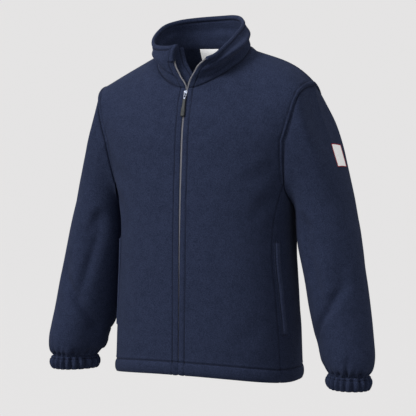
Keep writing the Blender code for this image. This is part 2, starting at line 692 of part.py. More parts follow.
def sleeve_grids(front, back):
    """The upper grid, with a column for each armhole point, and the gathered one with twice as many."""
    head = armhole_loop(front, back)
    turns = loop_turns(head)
    spread = np.sin(turns) ** 2
    first = sleeve_ring(0, turns)
    _, along = sleeve_line(0)
    underlap = SLEEVE_UNDERLAP * np.clip(0.5 + 0.5 * np.cos(turns), 0, 1)
    square = np.array([0.94, 0, -0.34])
    leave = unit(along * (1 - CAP_SPREAD * spread)[:, None] + square * (CAP_SPREAD * spread)[:, None])
    lean = np.clip(np.cos(turns), 0, 1) * (CAP_LEAN - CAP_TWIST * np.sin(turns))
    leave = unit(leave + lean[:, None] * np.array([1.0, 0, 0]))
    reach = np.linalg.norm(first - head, axis=1, keepdims=True)
    rows = [hermite(head, leave * reach, first, along * reach, t) for t in np.linspace(0, 1, CAP_STEPS + 1)]
    shares = np.linspace(0, GATHERS_FROM, ARM_STEPS + 1)
    for t in shares[1:]:
        ring = sleeve_ring(t, turns)
        middle, _ = sleeve_line(t)
        rows.append(ring + unit(middle - ring) * fold_depth(turns, t)[:, None])
    fine = np.stack([turns, turns + np.diff(np.append(turns, 2 * math.pi)) / 2], axis=1).reshape(-1)
    even = np.arange(len(fine)) * 2 * math.pi / len(fine)
    wave = gather_wave(len(fine), 0.55)
    lower = []
    for t in np.linspace(GATHERS_FROM, 1, GATHER_STEPS + 1)[1:]:
        share = (t - GATHERS_FROM) / (1 - GATHERS_FROM)
        ring = sleeve_ring(t, fine * (1 - share) + even * share)
        middle, _ = sleeve_line(t)
        depth = GATHER_DEPTH * share * (1.25 - 0.75 * share)
        lower.append(ring - unit(middle - ring) * (wave * depth)[:, None])
    return np.array(rows), np.array(lower), underlap


def doubled_wall(name, upper, lower, upper_in, lower_in, look):
    """A tube's closed wall whose last rows have twice the columns of the first ones."""
    points, rings = [], []
    for ring in list(upper) + list(lower) + list(upper_in) + list(lower_in):
        rings.append(np.arange(len(ring)) + len(points))
        points.extend(ring)
    count = len(upper) + len(lower)
    faces = []

    def band(a, b, flip):
        n, m = len(a), len(b)
        for j in range(n):
            k = (j + 1) % n
            if m == n:
                quads = [(a[j], b[j], b[k], a[k])]
            else:
                low, mid, high = b[2 * j], b[2 * j + 1], b[(2 * j + 2) % m]
                quads = [(a[j], low, mid), (a[j], mid, a[k]), (a[k], mid, high)]
            for face in quads:
                faces.append(face[::-1] if flip else face)

    for i in range(count - 1):
        band(rings[i], rings[i + 1], False)
        band(rings[count + i], rings[count + i + 1], True)
    head, head_in = rings[0], rings[count]
    for j in range(len(head)):
        k = (j + 1) % len(head)
        faces += rim(points, head[j], head[k], head_in[k], head_in[j])
    band(rings[count - 1], rings[2 * count - 1], False)
    return add_object(name, points, [tuple(int(v) for v in face) for face in faces], look)


def sleeve_piece(name, side, upper, underlap):
    """The sleeve above its gathers. Its rows go up to the armhole, and its columns round it."""
    order = slice(None, None, -side)
    grid = (upper * np.array([side, 1, 1]))[::-1, order]
    piece = Piece(name, grid, FLEECE, family="sleeve", closed=True)
    piece.sink = underlap[order]
    return piece


def gathered_inside(lower):
    """The plain inner rings of the gathered end, clear of every valley."""
    inside = []
    for i, ring in enumerate(lower):
        share = (i + 1) / GATHER_STEPS
        middle = ring.mean(axis=0)
        radius = np.linalg.norm(ring - middle, axis=1)
        plain = sleeve_ring(GATHERS_FROM + (1 - GATHERS_FROM) * share, even_turns(len(ring)))
        plain_radius = np.linalg.norm(plain - middle, axis=1)
        clear = np.minimum(radius, plain_radius - GATHER_DEPTH * share)
        target = radius + (clear - radius) * share - FLEECE
        inside.append(middle + (ring - middle) * (target / radius)[:, None])
    return np.array(inside)


def build_sleeve(piece, side, lower):
    """The whole sleeve: the piece from the armhole down, then the gathered end with twice the columns."""
    order = slice(None, None, -side)
    upper = piece.grid[::-1, order]
    upper_in = (piece.grid + piece.inward)[::-1, order]
    flip = np.array([side, 1, 1])
    return doubled_wall(piece.name, upper, lower * flip, upper_in, gathered_inside(lower) * flip, "fleece")


def even_turns(count):
    return np.arange(count) * 2 * math.pi / count


def build_cuff(name, side):
    """The elasticated cuff: a ribbed double band, below the gathered sleeve end."""
    count = 2 * GATHERS
    turns = even_turns(count)
    middle, along = sleeve_line(1)
    outward, forward = sleeve_axes(along)
    across = outward * math.cos(SLEEVE_TWIST) - forward * math.sin(SLEEVE_TWIST)
    ahead = forward * math.cos(SLEEVE_TWIST) + outward * math.sin(SLEEVE_TWIST)
    wave = gather_wave(count, 1.0)

    def ring(down, grow, ribbed):
        power = 2 / SLEEVE_BOXINESS
        reach = np.full(count, grow) + ribbed * wave * CUFF_RIB
        cosine, sine = np.cos(turns + SLEEVE_TWIST), np.sin(turns + SLEEVE_TWIST)
        side_reach = (CUFF_HALF_X + reach) * np.sign(cosine) * np.abs(cosine) ** power
        deep_reach = (CUFF_HALF_Y + reach) * np.sign(sine) * np.abs(sine) ** power
        start = middle + along * (SEAM_GAP + down)
        return start + side_reach[:, None] * across + deep_reach[:, None] * ahead

    rings = []
    for t in np.linspace(0, 1, CUFF_STEPS + 1):
        swell = CUFF_SWELL * math.sin(math.pi * (0.12 + 0.76 * t)) ** 0.8 - CUFF_DRAWN_IN
        rings.append(ring(CUFF_HEIGHT * t, swell, 0.55 + 0.45 * math.sin(math.pi * t)))
    rings += [ring(CUFF_HEIGHT * t, -DOUBLE, 0.0) for t in (1.0, 0.0)]
    flip = np.array([side, 1, 1])
    rings = [r * flip for r in rings]
    if side < 0:
        rings = [np.roll(r[::-1], 1, axis=0) for r in rings]
    index = np.arange(len(rings) * count).reshape(len(rings), count)
    faces = []
    for i in range(len(rings)):
        a, b = index[i], index[(i + 1) % len(rings)]
        for j in range(count):
            k = (j + 1) % count
            faces.append((int(a[j]), int(b[j]), int(b[k]), int(a[k])))
    return add_object(name, np.concatenate(rings), faces, "fleece")


# ------------------------------------------------------------------ zip


def front_edge(front, collar, side):
    """The closing edge from hem to rim, on the cloth's inner face: edge, tape column and guard column."""
    columns = (0, 1, 2) if side > 0 else (-1, -2, -3)
    points, normals = [], []
    for piece, first, last in ((front, 0, len(front.grid) - 1), (collar, 0, len(collar.grid))):
        inner = piece.grid + piece.inward
        points.append(inner[first:last, columns])
        normals.append(-unit(piece.inward)[first:last, columns])
    return np.concatenate(points), np.concatenate(normals)


def strip(name, sections, side, look):
    """A body that follows a front edge, through sections given for the wearer's right."""
    sections = np.array(sections)
    return ribbon(name, sections[:, ::-1] if side > 0 else sections, look)


def build_zip_half(name, edge, last, side):
    """One tape with its coil, behind the cloth and just beyond the front edge."""
    coil_in = -ZIP_HALF_GAP + SEAM_GAP
    coil_out = coil_in + COIL_WIDTH
    sections = []
    for point, normal in zip(edge[0][1:last], edge[1][1:last]):
        into = unit(point[1] - point[0])
        sections.append([
            point[0] + into * coil_in - normal[0] * (TAPE_GAP + TAPE),
            point[1] - normal[1] * (TAPE_GAP + TAPE),
            point[1] - normal[1] * TAPE_GAP,
            point[0] + into * coil_out - normal[0] * TAPE_GAP,
            point[0] + into * coil_out + normal[0] * (COIL_DEPTH - TAPE_GAP),
            point[0] + into * coil_in + normal[0] * (COIL_DEPTH - TAPE_GAP),
        ])
    return strip(name, sections, side, "zip")


def build_guard(edge, seam, last):
    """The long flap behind the zip, sewn to the wearer's right front. It lies behind the left one."""
    mirror = np.array([-1, 1, 1])
    thickness = FLEECE * 0.8
    sections = []
    for i in range(1, last):
        point, normal = edge[0][i], edge[1][i]
        path = [point[1], point[0], point[0] * mirror, point[2] * mirror]
        out = [normal[1], normal[0], normal[0] * mirror, normal[2] * mirror]
        space = GUARD_SPACE
        if i > seam:
            open_share = min(1, (i - seam) / 3)
            closed_way = unit(edge[0][seam][2] * mirror - edge[0][seam][0])
            way = unit(closed_way * (1 - open_share) + unit(np.array(GUARD_OPEN_TURN)) * open_share)
            up = unit(edge[0][i][0] - edge[0][i - 1][0])
            facing = unit(np.cross(way, up))
            facing = facing if facing[1] < 0 else -facing
            up_share = (i - seam) / (last - 1 - seam)
            reach = GUARD_OPEN_REACH + (GUARD_TOP_REACH - GUARD_OPEN_REACH) * up_share**3
            space = GUARD_SPACE + (GUARD_TOP_SPACE - GUARD_SPACE) * up_share
            path[2:] = [point[0] + way * min(2 * ZIP_HALF_GAP, reach / 2), point[0] + way * reach]
            out[2:] = [unit(facing + normal[0]), facing]
        near = [p - n * space for p, n in zip(path, out)]
        far = [p - n * (space + thickness) for p, n in zip(path, out)]
        sections.append(far[::-1] + near)
    return strip("zip_guard", sections, -1, "fleece")


def build_chin_guard(edge, first, last):
    """The top of the guard, folded over the front edge so that the zip's end is covered."""
    layer = FLEECE * 0.8
    behind, front = -0.0007, DOUBLE + 0.0007
    near, far = -0.0016, -0.0016 - layer
    profile = [
        (CHIN_GUARD_REACH, front),
        (near, front),
        (near, behind),
        (CHIN_GUARD_REACH, behind),
        (CHIN_GUARD_REACH, behind - layer),
        (far + 0.0008, behind - layer),
        (far, behind - layer / 2),
        (far, front + layer / 2),
        (far + 0.0008, front + layer),
        (CHIN_GUARD_REACH, front + layer),
    ]
    sections = []
    for point, normal in zip(edge[0][first:last], edge[1][first:last]):
        into = unit(point[1] - point[0])
        sections.append([point[0] + into * a + normal[0] * b for a, b in profile[::-1]])
    return strip("chin_guard", sections, -1, "fleece")


def prism(outline, thickness, hole=None):
    """A flat plate in the XZ plane, centred on y = 0, with an optional hole of the same point count."""
    count = len(outline)
    half = thickness / 2
    points = [(x, -half, z) for x, z in outline] + [(x, half, z) for x, z in outline]
    faces = [(j, (j + 1) % count, count + (j + 1) % count, count + j) for j in range(count)]
    if hole is None:
        return points, faces + [tuple(range(count))[::-1], tuple(range(count, 2 * count))]
    points += [(x, -half, z) for x, z in hole] + [(x, half, z) for x, z in hole]
    for j in range(count):
        k = (j + 1) % count
        faces.append((2 * count + j, 3 * count + j, 3 * count + k, 2 * count + k))
        faces.append((j, 2 * count + j, 2 * count + k, k))
        faces.append((count + j, count + k, 3 * count + k, 3 * count + j))
    return points, faces


def rounded_outline(width, height, radius, steps=3):
    """The corner points of a rounded rectangle, centred, anticlockwise from its lower right."""
    points = []
    for quarter, (sx, sz) in enumerate(((1, -1), (1, 1), (-1, 1), (-1, -1))):
        middle = (sx * (width / 2 - radius), sz * (height / 2 - radius))
        for k in range(steps + 1):
            angle = math.radians(-90 + 90 * quarter + 90 * k / steps)
            points.append((middle[0] + radius * math.cos(angle), middle[1] + radius * math.sin(angle)))
    return points


def place(points, origin, lean, forward):
    """Points moved out from the cloth, leaned with it about X and put in their place."""
    points = np.array(points) + [0, forward, 0]
    c, s = math.cos(lean), math.sin(lean)
    x, y, z = points.T
    return np.stack([x, y * c + z * s, z * c - y * s], axis=1) + origin


def cloth_station(front):
    """A point on the closed zip just below the neck seam, and the angle at which the cloth leans there."""
    column = front.grid[:, 0] * [0, 1, 1]
    down = np.concatenate([[0], np.cumsum(np.linalg.norm(np.diff(column[::-1], axis=0), axis=1))])
    ends = [SLIDER_DOWN, SLIDER_DOWN + PULL_LENGTH + GRIP_LENGTH]
    y, z = (np.interp(ends, down, column[::-1, k]) for k in (1, 2))
    return np.array([0, y[0], z[0]]), math.atan2(y[0] - y[1], z[0] - z[1])


def build_slider(station):
    """The slider's front plate, with the bridge that the pull hangs on."""
    origin, lean = station
    outline = rounded_outline(SLIDER_WIDTH, SLIDER_HEIGHT, SLIDER_CORNER)
    outline = [(x * (1.0 if z > 0 else SLIDER_TAPER), z) for x, z in outline]
    points, faces = prism(outline, PLATE)
    plate = add_object("slider", place(points, origin, lean, -SLIDER_CLEAR - PLATE / 2), faces, "nickel")
    face = -SLIDER_CLEAR - PLATE
    low, high = BRIDGE_LOW, BRIDGE_HIGH
    out, bar = face - BRIDGE_TUNNEL, BRIDGE_BAR
    root = face + BRIDGE_ROOT
    arch = [
        (root, low),
        (out - bar * 0.6, low),
        (out - bar, low + bar * 0.5),
        (out - bar, high - bar * 0.5),
        (out - bar * 0.6, high),
        (root, high),
        (root, high - bar),
        (out, high - bar),
        (out, low + bar),
        (root, low + bar),
    ]
    half = BRIDGE_WIDTH / 2
    count = len(arch)
    points = [(-half, y, z) for y, z in arch] + [(half, y, z) for y, z in arch]
    faces = [(j, (j + 1) % count, count + (j + 1) % count, count + j) for j in range(count)]
    faces += [tuple(range(count))[::-1], tuple(range(count, 2 * count))]
    bridge = add_object("slider_bridge", place(points, origin, lean, 0), faces, "nickel")
    bridge.hide_render = True
    bridge.display_type = "WIRE"
    join = plate.modifiers.new("bridge", "BOOLEAN")
    join.operation = "UNION"
    join.object = bridge


def build_pull(station):
    """The metal pull with its slot round the bridge, and the rubber grip moulded on its end."""
    origin, lean = station
    pivot_y = -SLIDER_CLEAR - PLATE - BRIDGE_TUNNEL / 2
    drop = PULL_BAR / 2 - PULL_LENGTH / 2
    outline = [(x, z + drop) for x, z in rounded_outline(PULL_WIDTH, PULL_LENGTH, PULL_CORNER)]
    outline = [(x * (PULL_TAPER if z < 2 * drop * 0.4 else 1.0), z) for x, z in outline]
    slot_drop = -PULL_SLOT / 2 - PULL_BAR / 2
    slot = [(x, z + slot_drop) for x, z in rounded_outline(PULL_SLOT_WIDTH, PULL_SLOT, PULL_SLOT_CORNER)]
    points, faces = prism(outline, PULL_THICK, slot)
    points = [(x, y, z + PIVOT_Z) for x, y, z in points]
    add_object("pull_tab", place(points, origin, lean, pivot_y), faces, "nickel")
    sections = []
    top = PIVOT_Z + PULL_BAR / 2 - PULL_LENGTH - SEAM_GAP
    for share, wide, thick in GRIP_SECTIONS:
        ring = rounded_outline(GRIP_WIDTH * wide, GRIP_THICK * thick, GRIP_THICK * thick * 0.35)
        sections.append(place([(x, y, top - GRIP_LENGTH * share) for x, y in ring], origin, lean, pivot_y))
    ribbon("pull_grip", sections, "rubber")


# ------------------------------------------------------------------ pieces laid on the cloth


def on_grid(grid, rows, columns):
    """Points on a grid's facets, at fractional rows and columns."""
    rows, columns = np.asarray(rows, float)[..., None], np.asarray(columns, float)[..., None]
    i = np.clip(rows.astype(int), 0, grid.shape[0] - 2)[..., 0]
    j = np.clip(columns.astype(int), 0, grid.shape[1] - 2)[..., 0]
    a, b = rows - i[..., None], columns - j[..., None]
    low = grid[i, j] * (1 - b) + grid[i, j + 1] * b
    high = grid[i + 1, j] * (1 - b) + grid[i + 1, j + 1] * b
    return low * (1 - a) + high * a


def laid_piece(name, points, normals, lift, thickness, look):
    """A thin piece on a grid of points, its underside lifted off them."""
    piece = Piece(name, points + normals * (lift + thickness), thickness)
    piece.inward = -normals * thickness
    wall(piece, look)


def build_welts(back):
    """The stitched-down pocket welts, just behind the side seams."""
    for name, edge, near in (("left", 0, 1), ("right", -1, -2)):
        seam, beside = back.grid[:, edge], back.grid[:, near]
        spacing = np.linalg.norm(beside - seam, axis=1)
        rows = np.interp(np.linspace(WELT_BOTTOM_Z, WELT_TOP_Z, 8), seam[:, 2], np.arange(len(seam)))
        outer, normals = [], []
        for row in rows:
            width = np.interp(row, np.arange(len(spacing)), spacing)
            lean = WELT_LEAN * (row - rows[0]) / (rows[-1] - rows[0])
            away = np.array([WELT_FROM_SEAM - lean, WELT_FROM_SEAM - lean + WELT_WIDTH]) / width
            columns = away if edge == 0 else (back.grid.shape[1] - 1 - away)[::-1]
            outer.append(on_grid(back.grid, [row, row], columns))
            normals.append(on_grid(back.normal, [row, row], columns))
        laid_piece(f"welt_{name}", np.array(outer), unit(np.array(normals)), LAY_GAP, WELT_THICK, "fleece")


def build_label(back):
    """The neck label, hanging inside the back from the neck seam."""
    inner = back.grid + back.inward
    last = len(inner) - 1
    drop = np.linalg.norm(inner[last, inner.shape[1] // 2] - inner[last - 1, inner.shape[1] // 2])
    points, normals, lifts = [], [], []
    for share in (0.0, 0.33, 0.67, 1.0):
        row = last - 0.04 - (1 - share) * LABEL_HEIGHT / drop
        line = on_grid(inner, np.full(inner.shape[1], row), np.arange(inner.shape[1], dtype=float))
        xs = LABEL_X + LABEL_WIDTH * np.array([0.5, 0.0, -0.5])
        columns = np.interp(-xs, -line[:, 0], np.arange(len(line)))
        points.append(on_grid(inner, np.full(3, row), columns))
        normals.append(on_grid(back.normal, np.full(3, row), columns))
        lifts.append([[LAY_GAP + LABEL_HANG * (1 - share) ** 0.4]] * 3)
    normals = -unit(np.array(normals))
    laid_piece("neck_label", np.array(points), normals, np.array(lifts), LABEL_THICK, "white")


def with_whole(start, end):
    """Start, end and the whole numbers between them."""
    return np.concatenate([[start], np.arange(math.floor(start) + 1, math.ceil(end)), [end]])


def build_badge(sleeve):
    """The woven badge on the outer side of the wearer's left sleeve."""
    grid = np.concatenate([sleeve.grid[:, -2:], sleeve.grid[:, :3]], axis=1)
    normal = np.concatenate([sleeve.normal[:, -2:], sleeve.normal[:, :3]], axis=1)
    half = BADGE_HEIGHT / 2
    rows = with_whole(*np.interp([BADGE_Z - half, BADGE_Z + half], grid[:, 2, 2], np.arange(len(grid))))
    line = on_grid(grid, np.full(5, rows.mean()), np.arange(5.0))
    run = np.concatenate([[0], np.cumsum(np.linalg.norm(np.diff(line, axis=0), axis=1))])
    reach = run[2] + BADGE_SHIFT + BADGE_WIDTH * np.array([-0.5, 0.5])
    columns = with_whole(*np.interp(reach, run, np.arange(5)))
    points = np.array([on_grid(grid, np.full(len(columns), row), columns) for row in rows])
    normals = np.array([on_grid(normal, np.full(len(columns), row), columns) for row in rows])
    laid_piece("sleeve_badge", points, unit(normals), LAY_GAP, BADGE_THICK, "white")


# ------------------------------------------------------------------ build


def main():
    clear_scene()
    front_left, front_right, back = body_pieces()
    collar = collar_piece()
    upper, lower, underlap = sleeve_grids(front_left, back)
    sleeve_left = sleeve_piece("sleeve_left", 1, upper, underlap)
    sleeve_right = sleeve_piece("sleeve_right", -1, upper, underlap)
    cut_pieces = [front_left, front_right, back, collar, sleeve_left, sleeve_right]
    mitre_seams(cut_pieces)
    for piece in cut_pieces[:4]:
        wall(piece)
    build_sleeve(sleeve_left, 1, lower)
    build_sleeve(sleeve_right, -1, lower)
    build_cuff("cuff_left", 1)
    build_cuff("cuff_right", -1)
    left_edge = front_edge(front_left, collar, 1)
    right_edge = front_edge(front_right, collar, -1)
    seam, rim = len(front_left.grid) - 1, len(left_edge[0])
    build_zip_half("zip_left", left_edge, rim, 1)
    build_zip_half("zip_right", right_edge, rim - CHIN_GUARD_STEPS, -1)
    build_guard(right_edge, seam, rim)
    build_chin_guard(right_edge, rim - CHIN_GUARD_STEPS, rim)
    station = cloth_station(front_left)
    build_slider(station)
    build_pull(station)
    build_welts(back)
    build_label(back)
    build_badge(sleeve_left)


main()
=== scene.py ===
"""The looks of a fleece zip jacket, filled out as if worn, with nobody in it.

The wearer faces -Y and the wearer's left is +X. Every cloth piece is a thin shell on the form of its
solid, worked out from the same named sizes, with the creases, seams and stitching that the solid leaves out.
"""

import math

import bmesh
import bpy
import numpy as np
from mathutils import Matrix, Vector, noise


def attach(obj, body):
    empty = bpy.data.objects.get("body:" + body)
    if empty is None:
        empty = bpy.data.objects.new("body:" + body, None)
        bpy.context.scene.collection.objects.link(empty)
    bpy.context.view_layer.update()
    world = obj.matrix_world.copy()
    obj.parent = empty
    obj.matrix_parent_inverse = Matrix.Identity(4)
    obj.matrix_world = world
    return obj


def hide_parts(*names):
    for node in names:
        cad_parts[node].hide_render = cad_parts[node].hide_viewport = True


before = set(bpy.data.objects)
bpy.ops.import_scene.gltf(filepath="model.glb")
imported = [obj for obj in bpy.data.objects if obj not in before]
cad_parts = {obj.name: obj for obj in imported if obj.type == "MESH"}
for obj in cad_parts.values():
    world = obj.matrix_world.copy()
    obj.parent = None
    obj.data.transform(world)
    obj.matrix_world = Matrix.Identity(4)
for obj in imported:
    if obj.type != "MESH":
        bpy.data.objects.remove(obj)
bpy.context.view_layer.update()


# ==================================================================== fronts and back
# Two fronts and a back, cut from one layer of 280 g/m2 anti-pill polyester fleece, napped on both
# sides. They are overlocked together at the sides and shoulders, and the hem is turned up and stitched.

FLEECE = 0.0026
DOUBLE = 0.0052
SEAM_GAP = 0.0003
BOXINESS = 2.4
UNDERARM_Z, YOKE_Z = -0.298, -0.205
HEM_FRONT_Z, HEM_BACK_Z, HEM_DIP = -0.6975, -0.706, 0.0145
HEM_TURN = 0.026
ZIP_HALF_GAP = 0.0032
NECK_SHARE = 0.52

TORSO_COLUMNS = ("z", "half_width", "front", "back", "seam_y")
TORSO_ROWS = (
    (-0.725, 0.2105, 0.1550, 0.1470, -0.0660),
    (-0.700, 0.2090, 0.1548, 0.1465, -0.0660),
    (-0.620, 0.2058, 0.1535, 0.1450, -0.0670),
    (-0.530, 0.2005, 0.1515, 0.1430, -0.0700),
    (-0.440, 0.1960, 0.1500, 0.1405, -0.0735),
    (-0.370, 0.1970, 0.1480, 0.1390, -0.0690),
    (-0.298, 0.2105, 0.1445, 0.1375, -0.0600),
    (-0.250, 0.2270, 0.1410, 0.1365, -0.0600),
    (-0.205, 0.2460, 0.1380, 0.1350, -0.0600),
    (-0.150, 0.2680, 0.1320, 0.1300, -0.0600),
)
ARMHOLE_COLUMNS = ("y", "z")
ARMHOLE_FRONT_ROWS = ((-0.0600, -0.2980), (-0.0705, -0.2690), (-0.0800, -0.2370), (-0.0870, -0.2050))
ARMHOLE_BACK_ROWS = (
    (-0.0600, -0.2980),
    (-0.0320, -0.2972),
    (0.0000, -0.2930),
    (0.0300, -0.2820),
    (0.0530, -0.2620),
    (0.0680, -0.2350),
    (0.0740, -0.2050),
)
NECK_HALF_WIDTH, NECK_HALF_DEPTH, NECK_MIDDLE_Y = 0.104, 0.088, -0.024
NECK_PITCH, NECK_ROUND, NECK_TOP_Z = 0.43, 0.030, 0.005
NECK_SIDE_RISE, NECK_CORNER_RISE = 0.006, 0.006
SHOULDER_TURN = math.radians(78)
SHOULDER_TIP = (0.2510, -0.0120, -0.0830)
SHOULDER_CROWN_LEFT, SHOULDER_CROWN_RIGHT, CROWN_OUT = 0.0150, 0.0010, 1.6
SHOULDER_FULLNESS = 0.65
FRONT_TOP_WAY, BACK_TOP_WAY = (0, 0.32, 0.95), (0, 0.55, 0.84)
NECK_TOP_WAY, TIP_TOP_WAY = (-0.50, 0.80, 0.42), (0.20, 0.97, 0.12)


def table(columns, rows):
    """The rows as one array for each named column."""
    return dict(zip(columns, np.array(rows, float).T))


def hermite(start, start_pull, end, end_pull, t):
    """The point at t on the cubic that leaves start along start_pull and arrives along end_pull."""
    return (
        (2 * t**3 - 3 * t**2 + 1) * start
        + (t**3 - 2 * t**2 + t) * start_pull
        + (3 * t**2 - 2 * t**3) * end
        + (t**3 - t**2) * end_pull
    )


def smooth(x, xs, ys):
    """A smooth curve through a table's points, read at x."""
    x = np.asarray(x, float)
    slopes = np.gradient(ys, xs)
    i = np.clip(np.searchsorted(xs, x, side="right") - 1, 0, len(xs) - 2)
    span = xs[i + 1] - xs[i]
    t = np.clip((x - xs[i]) / span, 0, 1)
    return hermite(ys[i], slopes[i] * span, ys[i + 1], slopes[i + 1] * span, t)


def unit(v):
    return v / np.maximum(np.linalg.norm(v, axis=-1, keepdims=True), 1e-12)


TORSO = table(TORSO_COLUMNS, TORSO_ROWS)


def torso_size(name, z):
    return smooth(z, TORSO["z"], TORSO[name])


def box_power(v, power):
    """A cosine or sine squared up towards a rounded box."""
    return np.sign(v) * np.abs(v) ** power


def torso(turn, z):
    """The point of the torso at a turn from the centre front round to the wearer's left."""
    sine, cosine = np.sin(turn), np.cos(turn)
    depth = np.where(cosine > 0, torso_size("front", z), torso_size("back", z))
    x = torso_size("half_width", z) * box_power(sine, 2 / BOXINESS)
    y = -depth * box_power(cosine, 2 / BOXINESS)
    return np.stack(np.broadcast_arrays(x, y, z), axis=-1)


def turn_at(y, z):
    depth = np.where(y < 0, torso_size("front", z), torso_size("back", z))
    return np.arccos(np.sign(-y) * (np.abs(y) / depth) ** (BOXINESS / 2))


def hem_z(turn):
    back = (1 - np.cos(turn)) / 2
    return HEM_FRONT_Z + (HEM_BACK_Z - HEM_FRONT_Z) * back - HEM_DIP * np.sin(turn) ** 2


def neckline(turn):
    """The neck seam, at a turn from the centre back."""
    x = NECK_HALF_WIDTH * np.sin(turn)
    y = NECK_MIDDLE_Y + NECK_HALF_DEPTH * np.cos(turn)
    z = NECK_PITCH * (y - np.sqrt(y**2 + NECK_ROUND**2)) + NECK_TOP_Z + NECK_SIDE_RISE * np.sin(turn) ** 2
    z += np.where(np.cos(turn) < 0, NECK_CORNER_RISE * np.sin(2 * turn) ** 2, 0)
    return np.stack(np.broadcast_arrays(x, y, z), axis=-1)


def shoulder_seam(t, crown):
    start, end = neckline(SHOULDER_TURN), np.array(SHOULDER_TIP)
    t = np.asarray(t, float)[..., None]
    return start + (end - start) * t + np.array([0, 0, crown]) * np.sin(math.pi * t**CROWN_OUT) ** 0.75


def armhole_edge(rows, share):
    """The lower armhole's edge, from the underarm (share 0) to the yoke (1)."""
    edge = table(ARMHOLE_COLUMNS, rows)
    where = np.linspace(0, 1, len(rows))
    y, z = smooth(share, where, edge["y"]), smooth(share, where, edge["z"])
    return turn_at(y, z), z


def panel(facing, rows_up, armhole_rows, columns, crown):
    """The form of half a front or back: rows from the hem up, columns out from the middle."""
    front = facing < 0
    middle = 0.0 if front else math.pi
    share = columns
    low, mid, high = rows_up
    grid = []
    hem_edge = turn_at(torso_size("seam_y", HEM_FRONT_Z), HEM_FRONT_Z)
    floor_z = hem_z(middle + (hem_edge - middle) * share)
    for t in low:
        z = floor_z + (UNDERARM_Z - floor_z) * t
        edge = turn_at(torso_size("seam_y", z[-1]), z[-1])
        grid.append(torso(middle + (edge - middle) * share, z))
    for t in mid:
        edge, outer_z = armhole_edge(armhole_rows, t)
        inner_z = UNDERARM_Z + (YOKE_Z - UNDERARM_Z) * t
        z = inner_z + (outer_z - inner_z) * share**2
        grid.append(torso(middle + (edge - middle) * share, z))
    yoke = grid[-1]
    edge, _ = armhole_edge(armhole_rows, 1.0)
    rise = (torso(middle + (edge - middle) * share, YOKE_Z + 0.01) - yoke) / 0.01
    neck_from = math.pi if front else 0.0
    blend = np.clip(share / NECK_SHARE, 0, 1)
    past = np.clip((share - NECK_SHARE) / (1 - NECK_SHARE), 0, 1)
    neck = neckline(neck_from + (SHOULDER_TURN - neck_from) * blend)
    top = np.where((share > NECK_SHARE)[:, None], shoulder_seam(past, crown), neck)
    blend, past = blend[:, None], past[:, None]
    ways = (FRONT_TOP_WAY if front else BACK_TOP_WAY, NECK_TOP_WAY, TIP_TOP_WAY)
    at_middle, at_neck, at_tip = np.array(ways) * [1, -facing, 1]
    arrive = at_middle * (1 - blend) + at_neck * blend * (1 - past) + at_tip * past
    reach = np.linalg.norm(top - yoke, axis=1, keepdims=True) * (1 + SHOULDER_FULLNESS * past**2)
    for t in high:
        grid.append(hermite(yoke, rise * reach, top, unit(arrive) * reach, t))
    return np.array(grid)


def grid_normals(grid, closed=False):
    """Normals that point out, for rows that go up and columns that go to the wearer's left."""
    if closed:
        across = np.roll(grid, -1, axis=1) - np.roll(grid, 1, axis=1)
    else:
        across = np.gradient(grid, axis=1)
    return unit(np.cross(across, np.gradient(grid, axis=0)))


EDGE_STEPS = (0.0008, 0.0010, 0.0013, 0.0017, 0.0022, 0.0028, 0.0034)
FINE_STEPS, FINE_AT_ZIP = (0.0014,) * 25, 14
CLOTH_STEP, ARMHOLE_STEP, SHOULDER_STEP, BACK_STEP = 0.0042, 0.0036, 0.0038, 0.0048
FRONT_WIDTH, BACK_HALF_WIDTH = 0.227, 0.358
BODY_HEIGHT, ARMHOLE_HEIGHT, SHOULDER_RISE = 0.3995, 0.093, 0.165


def spaced(length, step, first=(), last=()):
    """Shares of a length, close together towards its first and last ends."""
    first, last = np.cumsum(first), length - np.cumsum(last)
    start = first[-1] if len(first) else 0.0
    end = last[-1] if len(last) else length
    middle = np.linspace(start, end, round((end - start) / step) + 1)
    every = np.concatenate([[0.0], first, middle, last[::-1], [length]])
    return np.unique(np.round(every / length, 9))


def run(points, axis):
    """How far along its row or column each point of a grid is."""
    steps = np.linalg.norm(np.diff(points, axis=axis), axis=-1)
    start = np.zeros_like(np.take(steps, [0], axis=axis))
    return np.concatenate([start, np.cumsum(steps, axis=axis)], axis=axis)


class Cut:
    """A cut piece of cloth: its form as a grid, and how far each point is from each edge."""

    def __init__(self, name, form, closed=False):
        self.name, self.form, self.closed = name, form, closed
        self.normal = grid_normals(form, closed)
        self.up, self.across = run(form, 0), run(form, 1)
        self.down = self.up[-1] - self.up
        self.back_across = self.across[:, -1:] - self.across
        self.lift, self.inner_lift = np.zeros(form.shape[:2]), np.zeros(form.shape[:2])

    def bend(self, depth):
        """Moves the whole cloth, both faces of it, out by a depth at each point."""
        self.form = self.form + self.normal * depth[..., None]
        self.normal = grid_normals(self.form, self.closed)

    def face(self):
        return self.form + self.normal * self.lift[..., None]


def bell(x, middle, width):
    return np.exp(-(((x - middle) / width) ** 2))


SEAM_BLEND = 6


def join_normals(edges):
    """Gives the pieces that meet along a seam one shared direction there, blended in from the edge."""
    shared = unit(sum(cut.normal[index(0)] for cut, index in edges))
    for cut, index in edges:
        for k in range(SEAM_BLEND):
            share = (1 - k / SEAM_BLEND) ** 2
            cut.normal[index(k)] = unit(cut.normal[index(k)] * (1 - share) + shared * share)


def add_mesh(name, points, faces, look, smooth_angle=None):
    """An object from points and quads or triangles, smooth shaded."""
    mesh = bpy.data.meshes.new(name)
    mesh.from_pydata(np.asarray(points).tolist(), [], [list(map(int, f)) for f in faces])
    mesh.materials.append(look.material)
    mesh.shade_smooth()
    if smooth_angle is not None:
        mesh.set_sharp_from_angle(angle=math.radians(smooth_angle))
    made = bpy.data.objects.new(name, mesh)
    bpy.context.scene.collection.objects.link(made)
    return made


